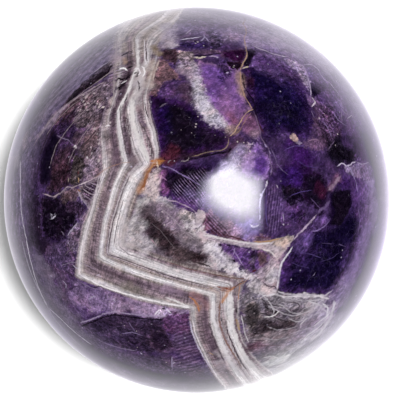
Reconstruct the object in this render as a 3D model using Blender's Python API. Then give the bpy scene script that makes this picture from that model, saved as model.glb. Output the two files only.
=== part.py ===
"""Chevron amethyst sphere: one piece of banded quartz, ground and polished to a ball.

Metres, +Z up. The ball stands on a small flat, and the origin is the middle of that flat.
"""

import math

import bmesh
import bpy
from mathutils import Vector

# Driving dimensions
BALL_DIAMETER = 0.060
REST_FLAT_DIAMETER = 0.006

# The polished surface is drawn as flat facets, this many round the ball and from pole to pole
FACETS_ROUND = 64
FACETS_POLE_TO_POLE = 36

# Worked out from the driving dimensions
BALL_RADIUS = BALL_DIAMETER / 2
REST_FLAT_RADIUS = REST_FLAT_DIAMETER / 2
CENTRE_HEIGHT = math.sqrt(BALL_RADIUS**2 - REST_FLAT_RADIUS**2)

# Polished amethyst seen as one colour: deep violet with the grey of its milky bands
STONE_COLOUR = (0.105, 0.062, 0.165, 1.0)
STONE_ROUGHNESS = 0.08
QUARTZ_IOR = 1.544


def clear_scene():
    for obj in list(bpy.data.objects):
        bpy.data.objects.remove(obj)


def polished_stone():
    """Quartz polished to a gloss, with the ball's mean colour."""
    material = bpy.data.materials.new("polished_amethyst")
    material.use_nodes = True
    shader = material.node_tree.nodes["Principled BSDF"]
    shader.inputs["Base Color"].default_value = STONE_COLOUR
    shader.inputs["Roughness"].default_value = STONE_ROUGHNESS
    shader.inputs["Metallic"].default_value = 0.0
    shader.inputs["IOR"].default_value = QUARTZ_IOR
    return material


def ball_with_flat():
    """The round ball about its own centre, cut off level where it rests."""
    form = bmesh.new()
    bmesh.ops.create_uvsphere(
        form,
        u_segments=FACETS_ROUND,
        v_segments=FACETS_POLE_TO_POLE,
        radius=BALL_RADIUS,
    )
    cut = bmesh.ops.bisect_plane(
        form,
        geom=form.verts[:] + form.edges[:] + form.faces[:],
        plane_co=Vector((0.0, 0.0, -CENTRE_HEIGHT)),
        plane_no=Vector((0.0, 0.0, -1.0)),
        clear_outer=True,
    )
    rim = [item for item in cut["geom_cut"] if isinstance(item, bmesh.types.BMEdge)]
    bmesh.ops.edgeloop_fill(form, edges=rim)
    bmesh.ops.recalc_face_normals(form, faces=form.faces)
    mesh = bpy.data.meshes.new("amethyst_sphere")
    form.to_mesh(mesh)
    form.free()
    return mesh


def main():
    clear_scene()
    parts = bpy.data.collections.new("Chevron amethyst sphere")
    bpy.context.scene.collection.children.link(parts)

    mesh = ball_with_flat()
    mesh.materials.append(polished_stone())
    mesh.shade_smooth()
    mesh.set_sharp_from_angle(angle=math.radians(20.0))

    ball = bpy.data.objects.new("amethyst_sphere", mesh)
    ball.location = (0.0, 0.0, CENTRE_HEIGHT)
    parts.objects.link(ball)


main()
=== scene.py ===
"""Chevron amethyst sphere: a ball of banded violet quartz, ground round and polished to a gloss.

The form is one ball on a small rest flat. The stone's markings are traced as named lines, cells
and bands. Each is put on the ball where the photograph's camera sees it, and its distances are
kept on the mesh, so that the material draws sharp edges from them.
"""

import math

import bpy
import numpy as np
from bpy.props import FloatProperty, FloatVectorProperty, PointerProperty
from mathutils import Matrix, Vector


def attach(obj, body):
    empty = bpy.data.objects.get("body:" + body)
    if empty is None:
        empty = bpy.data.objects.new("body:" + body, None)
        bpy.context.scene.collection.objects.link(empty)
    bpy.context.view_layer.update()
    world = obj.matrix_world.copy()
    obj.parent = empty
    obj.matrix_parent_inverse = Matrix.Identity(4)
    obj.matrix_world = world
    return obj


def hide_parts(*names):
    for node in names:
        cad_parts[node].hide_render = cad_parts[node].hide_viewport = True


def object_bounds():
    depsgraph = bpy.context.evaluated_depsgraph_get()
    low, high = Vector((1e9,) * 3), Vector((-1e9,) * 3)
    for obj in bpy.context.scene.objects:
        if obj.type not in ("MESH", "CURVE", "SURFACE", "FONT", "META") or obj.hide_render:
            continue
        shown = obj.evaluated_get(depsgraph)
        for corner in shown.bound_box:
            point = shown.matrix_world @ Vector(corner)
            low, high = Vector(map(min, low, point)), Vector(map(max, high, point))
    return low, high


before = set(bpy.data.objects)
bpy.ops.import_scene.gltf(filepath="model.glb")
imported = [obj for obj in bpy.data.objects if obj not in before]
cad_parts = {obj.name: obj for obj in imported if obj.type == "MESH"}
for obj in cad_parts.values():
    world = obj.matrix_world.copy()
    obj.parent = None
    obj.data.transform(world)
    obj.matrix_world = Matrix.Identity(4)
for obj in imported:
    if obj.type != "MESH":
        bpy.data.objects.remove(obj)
CAD_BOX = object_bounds()

bl_info = {
    "name": "Chevron amethyst sphere",
    "version": (1, 0, 0),
    "blender": (4, 5, 0),
    "location": "3D View > Sidebar > Amethyst",
    "description": "A polished ball of violet quartz crossed by milky chevron bands",
    "category": "Object",
}

# Sizes in metres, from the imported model
BALL_DIAMETER = (CAD_BOX[1] - CAD_BOX[0]).x
CENTRE_HEIGHT = CAD_BOX[1].z - BALL_DIAMETER / 2
MM = 0.001
RADIUS_MM = BALL_DIAMETER / 2 / MM

# The photograph's view: a 150 mm lens over a 36 mm wide sensor, looking straight down
LENS_MM = 150.0
SENSOR_MM = 36.0
PHOTO_SIDE = 400.0
BALL_MIDDLE_PX = (197.0, 200.0)
BALL_OUTLINE_PX = 193.0
VIEW_SLOPE = SENSOR_MM / 2 / LENS_MM
OUTLINE_SLOPE = BALL_OUTLINE_PX / (PHOTO_SIDE / 2) * VIEW_SLOPE
EYE_DISTANCE_MM = RADIUS_MM / math.sin(math.atan(OUTLINE_SLOPE))
PX_MM = RADIUS_MM / BALL_OUTLINE_PX
EYE_MM = np.array(
    [
        (PHOTO_SIDE / 2 - BALL_MIDDLE_PX[0]) / (PHOTO_SIDE / 2) * VIEW_SLOPE * EYE_DISTANCE_MM,
        (BALL_MIDDLE_PX[1] - PHOTO_SIDE / 2) / (PHOTO_SIDE / 2) * VIEW_SLOPE * EYE_DISTANCE_MM,
        EYE_DISTANCE_MM,
    ]
)

# The ball's skin: how often the cube is divided before it is rounded, by what share of the radius it is
# moved up first, how near to the cutting plane a point counts as on it, and the least angle of an edge
SKIN_LEVELS = 7
CUBE_LIFT = 0.2
CUT_TOLERANCE = 1e-7
FLAT_ANGLE = math.radians(20.0)

# Signed distances are kept up to this many millimetres from a line
REACH_MM = 2.6
# Further off than any spot of the ball
FAR_MM = 1e3
# A border's place, where the spot is well outside it
FAR_AWAY = -9.0
CELL_LAYERS = 4
VEIN_LAYERS = 5
# Fine lines nearer to one another than this go into different layers
VEIN_ROOM_MM = 1.2
# Their ends grow narrower over this length at the most, and fade over the second one
VEIN_TAPER_PX = 6
VEIN_FADE_MM = 0.3
# The strength kept on the mesh goes to nothing between these distances from a line's side
VEIN_MARGIN_MM = (0.45, 0.85)
# Twin layers fade out towards their outline over this range
TWIN_FADE_PX = (-1, 5)
# How many waves are laid over one another for an irregular course
WAVES = 28
COARSE_UNEVEN_MM = 3.4
FINE_UNEVEN_MM = 1.5
# One run of the bands passes into the next over about this far
RUN_BLEND_MM = 0.8
# How mottled the stone is where no zone says it
PLAIN_MOTTLE = 0.4

# The sizes in millimetres of what the stone's material draws
BORDER_WANDER_MM = 2.2
BORDER_FRAY_MM = 0.7
CLOUD_MM = 2.4
CURD_MM = 0.95
GRAIN_MM = 0.34
SALT_MM = 0.6
PEPPER_MM = 0.7
BREAK_MM = 1.1
BAND_SWAY_MM = 5.0
BAND_FRAY_MM = 0.5
BAND_LAYER_MM = 6.25
FIBRE_SWAY_MM = 1.6
TWIN_SWAY_MM = 3.0
WARM_PATCH_MM = 1.9
THREAD_MM = 1.5
CRACK_MM = 0.06
WEB_BEND_MM = 1.8
WEB_SHIFT_MM = 1.6
FLECK_MM = 0.75
GLINT_MM = 1.5
# The webs of healed cracks: size of their cells in millimetres, opacity where the stone is even, and how
# much more there is of them where it is mottled
WEBS = ((3.4, 0.1, 0.5), (1.5, 0.0, 0.8))
# The grain is drawn out along one direction: how far that one is turned, and how much it is stretched
GRAIN_TURN = -0.9
GRAIN_STRETCH = 2.4

# Red, green and blue of warm and cold patches, crystal threads and pits, against the stone around them
WARMER = (1.13, 0.92, 0.86, 1.0)
COLDER = (0.92, 0.89, 1.15, 1.0)
CRYSTAL_GAIN = (1.9, 1.9, 1.9, 1.0)
CRYSTAL_LIFT = (0.03, 0.026, 0.035, 1.0)
PIT_GAIN = (0.22, 0.18, 0.26, 1.0)

# Where a colour mix node keeps its two colours and its result
MIX_UNDER = 6
MIX_OVER = 7
MIX_RESULT = 2

# The ground colour under everything, the polished surface, and the darkest and palest that the stone gets
BACKGROUND = "3f2c52"
QUARTZ_IOR = 1.544
POLISHED_ROUGHNESS = 0.035
CLOUDED_ROUGHNESS = 0.075
STONE_DARKEST = (0.006, 0.003, 0.009)
STONE_PALEST = 0.9

# The stone that no view of the photograph shows: pairs of tones, at a cell's border and in its middle
BEYOND_CELLS = 80
BEYOND_TONES = (
    ("3a2450", "1a0c28"),
    ("4c3260", "2a1840"),
    ("5d4474", "3c2460"),
    ("6c5878", "4c3858"),
    ("7e7088", "5c4e66"),
    ("4c3850", "2c1c34"),
    ("2c1a3c", "120818"),
)
BEYOND_STRETCH = (1.0, 1.25, 0.85)
BEYOND_WASH = "42305a"
BEYOND_SEAM = "8f8199"
BEYOND_SEED = 7
# How its borders are bent, widely and finely, and how its seams are broken up, in millimetres
BEYOND_WARP_MM = 11.0
BEYOND_FINE_WARP_MM = 4.0
BEYOND_GAPS_MM = 5.0
# It gives way to the traced stone between these heights over the ball's middle, as shares of the radius:
# first for the ground that the soft patches go on, then for all the rest
GROUND_TURNS = (-0.05, 0.3)
STONE_TURNS = (0.2, 0.48)
# The bands' near and far tracings run into one another at this height over the camera's horizon
BANDS_TURN_MM = (-6.0, 0.5)

# Painted reflection fading in towards the rim: distance from the ball's middle in pixels, its level, share
# of it
RIM_LEVELS = (
    (156, 0.10, 0.0),
    (163, 0.13, 0.33),
    (170, 0.17, 0.62),
    (176, 0.19, 0.68),
    (183, 0.28, 0.72),
    (187, 0.39, 0.78),
    (190, 0.48, 0.84),
    (194, 0.58, 0.9),
)
# The painted reflection's tint at its inner edge and at the outline
RIM_TINTS = ((1.25, 0.9, 1.68), (1.05, 0.97, 1.2))
# The painted reflection all round, by the angle from the right, anticlockwise: its light, how much of its
# violet it keeps, and by how many pixels it starts further out
RIM_LIGHT = (
    (0, 1.15, 1.55, 3),
    (20, 1.4, 1.45, 6),
    (42, 1.55, 1.2, 3),
    (60, 1.55, 1.0, 0),
    (90, 1.2, 0.8, 0),
    (105, 1.35, 0.5, 0),
    (125, 1.1, 0.5, 1),
    (142, 0.95, 0.6, 5),
    (155, 0.9, 0.7, 4),
    (180, 0.95, 0.9, 5),
    (205, 0.83, 0.8, 9),
    (240, 0.95, 0.9, 6),
    (265, 1.1, 0.6, 3),
    (285, 1.6, 0.3, 0),
    (300, 1.9, 0.25, 0),
    (320, 1.35, 1.1, 0),
    (340, 1.08, 1.6, 4),
)
# Fine lines lie nearer the surface, so the painted reflection at the rim covers less of them
VEIN_REFLECTION_SHARE = 0.55
# Between these distances from the ball's middle in pixels the painted reflection stops starting further
# out, and its tint goes from the inner one to the outer one
RIM_EVEN_PX = (176, 186)
RIM_TINTS_PX = (165, 188)

# The studio: levels are against a white that just shows as white
SKY_LEVEL = 0.72
KEY_LEVEL = 0.40
KEY_TILT = math.radians(10.5)
KEY_WAY = np.array([math.sin(KEY_TILT), 0.04, math.cos(KEY_TILT)])
KEY_SPREAD = math.radians(7.0)
# How bright a white surface facing the light would show, so that hex colours come out as written
LIGHT_LEVEL = SKY_LEVEL + KEY_LEVEL
# The white table as the gloss shows it: angle from the right, anticlockwise, level, and how far out it
# is even
TABLE_LIGHT = (
    (0, 1.8, 72),
    (45, 1.55, 100),
    (60, 1.5, 100),
    (90, 1.3, 84),
    (135, 1.14, 60),
    (180, 1.08, 58),
    (215, 1.02, 57),
    (240, 1.1, 68),
    (270, 1.25, 90),
    (300, 1.9, 100),
    (330, 1.65, 72),
)
TABLE_TINT = np.array([0.97, 0.93, 1.05])
TABLE_FALLOFF = 1.9
TABLE_REACH_MM = 190.0
TABLE_RINGS_MM = (20, 30, 36, 42, 48, 55, 60, 66, 74, 84, 100, 125, 155, 190)
TABLE_SPOKES = 48
# The table's light that is taken out of the stone's own colour again
VEIL_SHARE = 0.97
# The paper as the camera sees it: overexposed to white, so that only the ball's shadow shows
PAPER_WHITE = 0.6
PAPER_LEVEL = 1.5
PAPER_SIDE_MM = 400.0
BACKDROP_LEVEL = 1.05
# The paper lies a hair under the table's glow, and both a hair under the ball's flat
PAPER_DEPTH_MM = 0.05
GLOW_DEPTH_MM = 0.03
SOFTBOX_GLOW = 21.0
SOFTBOX_HEIGHT_MM = 620.0
# The faint edge of the softbox is a little violet: how much less red, green and blue it has
SOFTBOX_TINT = (0.26, 0.32, 0.0)
# The softbox, as the top of the ball mirrors it, ring by ring from its faint edge inwards: glow and outline
SOFTBOX_RINGS = (
    (0.0, "195,192 197,182 203,174 215,167 231,154 248,163 258,170 266,176 265,198 265,216 264,233 244,238 "
     "217,225 203,215 195,204"),
    (0.16, "200,192 203,181 208,175 218,169 232,160 245,168 255,173 263.5,178 263,197 263,213 261,226 "
     "243,229 221,219 208,211 201,202"),
    (0.42, "205,192 207,181 212,176 221,171 232,164 243,171 251,175 260,180 261,195 260.5,209 257,219 "
     "242,221.5 224,214 212,207 206,199"),
    (0.7, "210,190 210,180 212.5,175 220,171 232,167 240,173 247,178 255,183 258,193 257,205 252,213 "
     "240,214 226,209 217,204 211,197"),
    (0.95, "214,190 214,182 216,178 222,175 231,173 237,177 242,180 248,184 250,192 249,200 246,206 "
     "238,209 228,206 221,201 216,196"),
)

# The tones of the growth bands, and how much each covers
BAND_TONES = {
    "none": ("8d8192", 0.0),
    "haze": ("8f8497", 0.7),
    "faint": ("94889c", 0.35),
    "white": ("e9e4e7", 1.0),
    "milk": ("d9d0d5", 1.0),
    "ash": ("bfb4ba", 1.0),
    "tan": ("a79a99", 1.0),
    "rose": ("9b8790", 1.0),
    "mauve": ("877480", 1.0),
    "plum": ("665462", 1.0),
    "dark": ("4c3b46", 1.0),
    "inner": ("7b6a6e", 0.9),
}

# The growth bands run by run: name, where the run lies, and the tones across it, each with its place
# in pixels from the outermost band's edge to the innermost one
BAND_RUNS = (
    ("over the shoulder", "160,-30 150,20 143,46",
     "-2.6 none, -0.6 haze, 1.5 ash, 5 ash, 9 tan, 13 mauve, 16.4 tan, 18.4 milk, 20 ash, 24 tan, 28 "
     "tan, 30 ash, 33 milk, 36 ash, 39 tan, 41 haze, 45 faint, 51 none"),
    ("stack", "137,68 130,90 128,112",
     "-2.6 none, -0.4 mauve, 2 rose, 5 tan, 7.5 ash, 9.5 mauve, 11.5 plum, 14 dark, 15.6 plum, 16.8 "
     "rose, 18.4 white, 20.4 milk, 22 ash, 24.6 mauve, 26.4 plum, 28 rose, 30 milk, 33.5 white, 35.6 "
     "milk, 37.4 mauve, 39 plum, 40.4 rose, 42.4 milk, 44 rose, 45.6 plum, 47.2 none"),
    ("stack's foot", "130,132 136,150",
     "-2.6 none, -1 mauve, 0.4 ash, 2.4 ash, 5 rose, 8 rose, 11 plum, 14 plum, 15.6 rose, 17.4 milk, "
     "18.8 white, 20.4 milk, 22 mauve, 24.4 plum, 27.2 mauve, 29 ash, 31 ash, 32.4 milk, 35 milk, 36.8 "
     "milk, 38.2 rose, 39.8 mauve, 41.4 rose, 43 milk, 44.4 ash, 45.8 plum, 47.2 none"),
    ("down the left", "124,180 112,210 104,242",
     "-2.6 none, -1.2 mauve, 0.2 ash, 1.8 milk, 3.6 milk, 5 ash, 7 tan, 9 rose, 12 mauve, 15 mauve, 16.6 "
     "rose, 17.8 ash, 19 milk, 20.6 white, 22.4 milk, 24 ash, 26 tan, 27.8 mauve, 28.8 ash, 31 ash, 32.6 "
     "milk, 34.6 white, 38.6 milk, 40.6 ash, 43 tan, 45 inner, 48 none"),
    ("along the foot of the cell", "108,266 150,284 205,298",
     "-2.6 none, -1.4 mauve, 0 ash, 1.4 milk, 2.6 milk, 4 tan, 6 rose, 9 mauve, 12 plum, 14.4 mauve, "
     "15.8 tan, 16.8 milk, 18.4 white, 20.8 white, 22.4 ash, 24.8 tan, 27 tan, 28.6 mauve, 29.6 ash, 31 "
     "tan, 32.6 ash, 34 white, 37.4 milk, 39 milk, 40.6 rose, 42 mauve, 43.4 tan, 45.4 inner, 48 none"),
    ("down to the rim", "226,318 234,352 258,390",
     "-2.6 none, -1.4 plum, 0 ash, 1.2 milk, 2.4 ash, 4.4 rose, 7 mauve, 10 plum, 13.4 plum, 14.8 rose, "
     "16.6 ash, 18.2 white, 20.4 white, 22 ash, 24 ash, 26.4 mauve, 28.6 ash, 30.2 rose, 31.8 ash, 33.6 "
     "milk, 35.6 white, 38 milk, 40.4 ash, 42.4 mauve, 44 mauve, 46 ash, 48.4 none"),
)

# Lines along the growth bands, each with how far across the bands it runs: outer edge, second white
# band's edge, broad white band's edge and inner edge
BAND_LINES = (
    (0.0, "138,-8 124,18 116,30 113.5,40 113,52 112,64 110,80 109,95 107,108 103,119 101,131 101.5,148 "
     "103,166 101,175 96,187 92,197 91,207 88,215 84,225 82,235 80,245 78,258 76.5,276 95,284 115,291 "
     "135,298 160,304 191,309 191,320 193,332 199,346 206,360 213,371 221,382 232,398"),
    (18.0, "180,-6 160,20 150,26 140,32 136.5,38 137,52 137,66 131,80 128,90 125,97 121,103 118,110 "
     "117,119 118.5,130 120,140 122,152 124,161 119,171 114,183 110,197 107,207 104,217 102,230 100,240 "
     "98,257 115,265 130,270.5 160,280 180,286 200,291 213,294 211.5,306 211.5,320 214,330 218,340 "
     "222,350 227,360 233,370 241,380 254,398"),
    (32.0, "190,-6 178,18 165,27 154,35 149,42 147,52 146,62 141,75 137,88 132,98 129.5,106 130,113 "
     "131,128 134,140 137,150 142,158 147,165 131,175 125,188 121,200 118,210 114,222 112,232 110,245 "
     "109,253 125,259.5 147,267.5 165,274 184,280 200,284 223,290 223,305 225,320 229,333 233,342 "
     "237,352 242,362 248,370 256,381 270,398"),
    (46.0, "194,-6 181,14 178,23 174,32 168,42 162,50 160,57 157,65 154,78 150,88 149,95 150,105 151,113 "
     "153,119 155,125 157,132 158,140 159.5,150 159,160 151,168 144,184 138,197 134,211 130,226 "
     "126.5,241.5 140,247 160,255 180,262 200,266 215,270 232,274 246,279 242,288 239,300 238,315 "
     "238.5,330 243,342 250,353 258,362 268,370 290,388"),
)

# The bands on the far side, as seen through the ball: the outer and the inner edge
FAR_BAND_EDGES = (
    "138,-8 124,18 128,48 146,84 128,128 118,164 142,204 156,246 148,288 176,330 204,366 221,382 232,398",
    "194,-6 181,14 176,42 196,88 178,130 166,162 190,206 206,250 196,288 220,326 244,350 268,370 290,388",
)

# The stone between its marks: name, colour as seen, radius and opacity of the soft patch, mottling,
# where
# Patches at the rim are pale partly from the table's reflection there: what the gloss shows is taken out
# again, and the rest stays as painted reflection
GROUND = (
    ("lilac shoulder", "7c728c", 36, 1.0, 0.15, "72,72 96,52"),
    ("pale reflection under the upper rim", "9c93a6", 18, 0.9, 0.1, "52,66 88,38 122,26"),
    ("top rim", "94889c", 18, 1.0, 0.15, "185,14 215,18 240,20"),
    ("pale lilac under the top rim", "a89bb4", 18, 1.0, 0.2, "262,36 292,44 318,58"),
    ("violet grey at the top", "56486c", 12, 0.9, 0.35, "192,24 226,30"),
    ("mauve by the top crack", "8d7994", 9, 0.9, 0.4, "234,36 246,26"),
    ("left shoulder", "5f5268", 18, 0.9, 0.2, "44,106 58,92"),
    ("speckled ground", "382a36", 17, 1.0, 0.8, "92,98 97,118"),
    ("speckled dark", "46324a", 11, 0.9, 0.9, "82,123"),
    ("olive ground", "9a8c94", 13, 0.9, 0.9, "97,138 98,158"),
    ("blue violet", "2e1c38", 10, 0.9, 0.5, "64,132"),
    ("near black on the left", "1a0e26", 13, 1.0, 0.3, "46,142 50,172"),
    ("violet on the left", "3a2a55", 7, 0.8, 0.3, "32,148 33,168"),
    ("left rim", "9f94a0", 8, 0.9, 0.1, "22,132 17,160"),
    ("brown left", "362333", 11, 1.0, 0.4, "66,158 68,172"),
    ("brown violet by the bands", "80697c", 9, 0.9, 0.6, "86,168 92,178"),
    ("dark left", "06000e", 19, 1.0, 0.6, "60,214 62,234"),
    ("violet by the bands", "4b3a5c", 8, 0.9, 0.5, "80,206 72,238 62,256"),
    ("slate by the rim", "08020e", 10, 1.0, 0.2, "30,190 30,215 32,240"),
    ("low left", "473750", 18, 1.0, 0.5, "58,276 66,296"),
    ("under the bands", "745f82", 15, 1.0, 0.45, "84,300 102,302"),
    ("rose violet under the bands", "9c84a4", 11, 1.0, 0.4, "122,304 150,307 172,310"),
    ("low left rim", "61566a", 14, 0.9, 0.2, "40,262 62,312 84,338"),
    ("foot", "3e3148", 16, 1.0, 0.45, "108,356 138,362 168,362"),
    ("foot by the rim", "71647c", 10, 0.9, 0.2, "120,374 160,382 190,384"),
    ("stripes at the foot", "513d5a", 13, 1.0, 0.4, "184,340 187,366"),
    ("grey by the bands' inner side", "f0e9eb", 14, 1.0, 0.35, "150,210 160,262 190,262"),
    ("violet above the right polygon", "47315d", 14, 1.0, 0.4, "272,198 283,222"),
    ("mid violet right", "341650", 17, 1.0, 0.35, "302,156 298,172"),
    ("violet by the highlight", "1d0c38", 10, 1.0, 0.3, "288,176 296,184"),
    ("violet grey right", "6a5a80", 13, 1.0, 0.4, "318,82 326,98"),
    ("clouded violet right", "583f5a", 12, 1.0, 0.7, "326,118 326,132"),
    ("dark right", "120a1e", 11, 1.0, 0.4, "338,150 340,158"),
    ("slate right", "0a0212", 11, 1.0, 0.2, "358,144 364,156"),
    ("rim upper right", "857899", 15, 0.9, 0.15, "345,92 360,118"),
    ("right side", "4e3468", 14, 1.0, 0.35, "352,180 356,196"),
    ("right rim", "a293b8", 10, 1.0, 0.1, "370,176 374,200 374,224"),
    ("black brown right", "160520", 15, 1.0, 0.4, "315,182 318,198"),
    ("black right", "0e021f", 15, 1.0, 0.3, "342,212 330,236 334,262"),
    ("right under the veil", "72618c", 12, 1.0, 0.15, "366,236 358,262 346,286"),
    ("mauve left of the right polygon", "a08d9c", 13, 1.0, 0.6, "272,264 266,280"),
    ("clouds", "756d77", 24, 1.0, 0.6, "262,300 300,304 318,312"),
    ("pale cloud right", "b2aab6", 14, 1.0, 0.4, "318,310 326,322 306,340"),
    ("low clouds", "7a6e76", 20, 1.0, 0.5, "284,344 262,338 300,330"),
    ("pale lower right rim", "c2bcc8", 14, 1.0, 0.3, "334,326 312,350 282,366 262,374"),
    ("violet lower right", "8b829b", 9, 0.9, 0.3, "341,304 346,296"),
)

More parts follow.
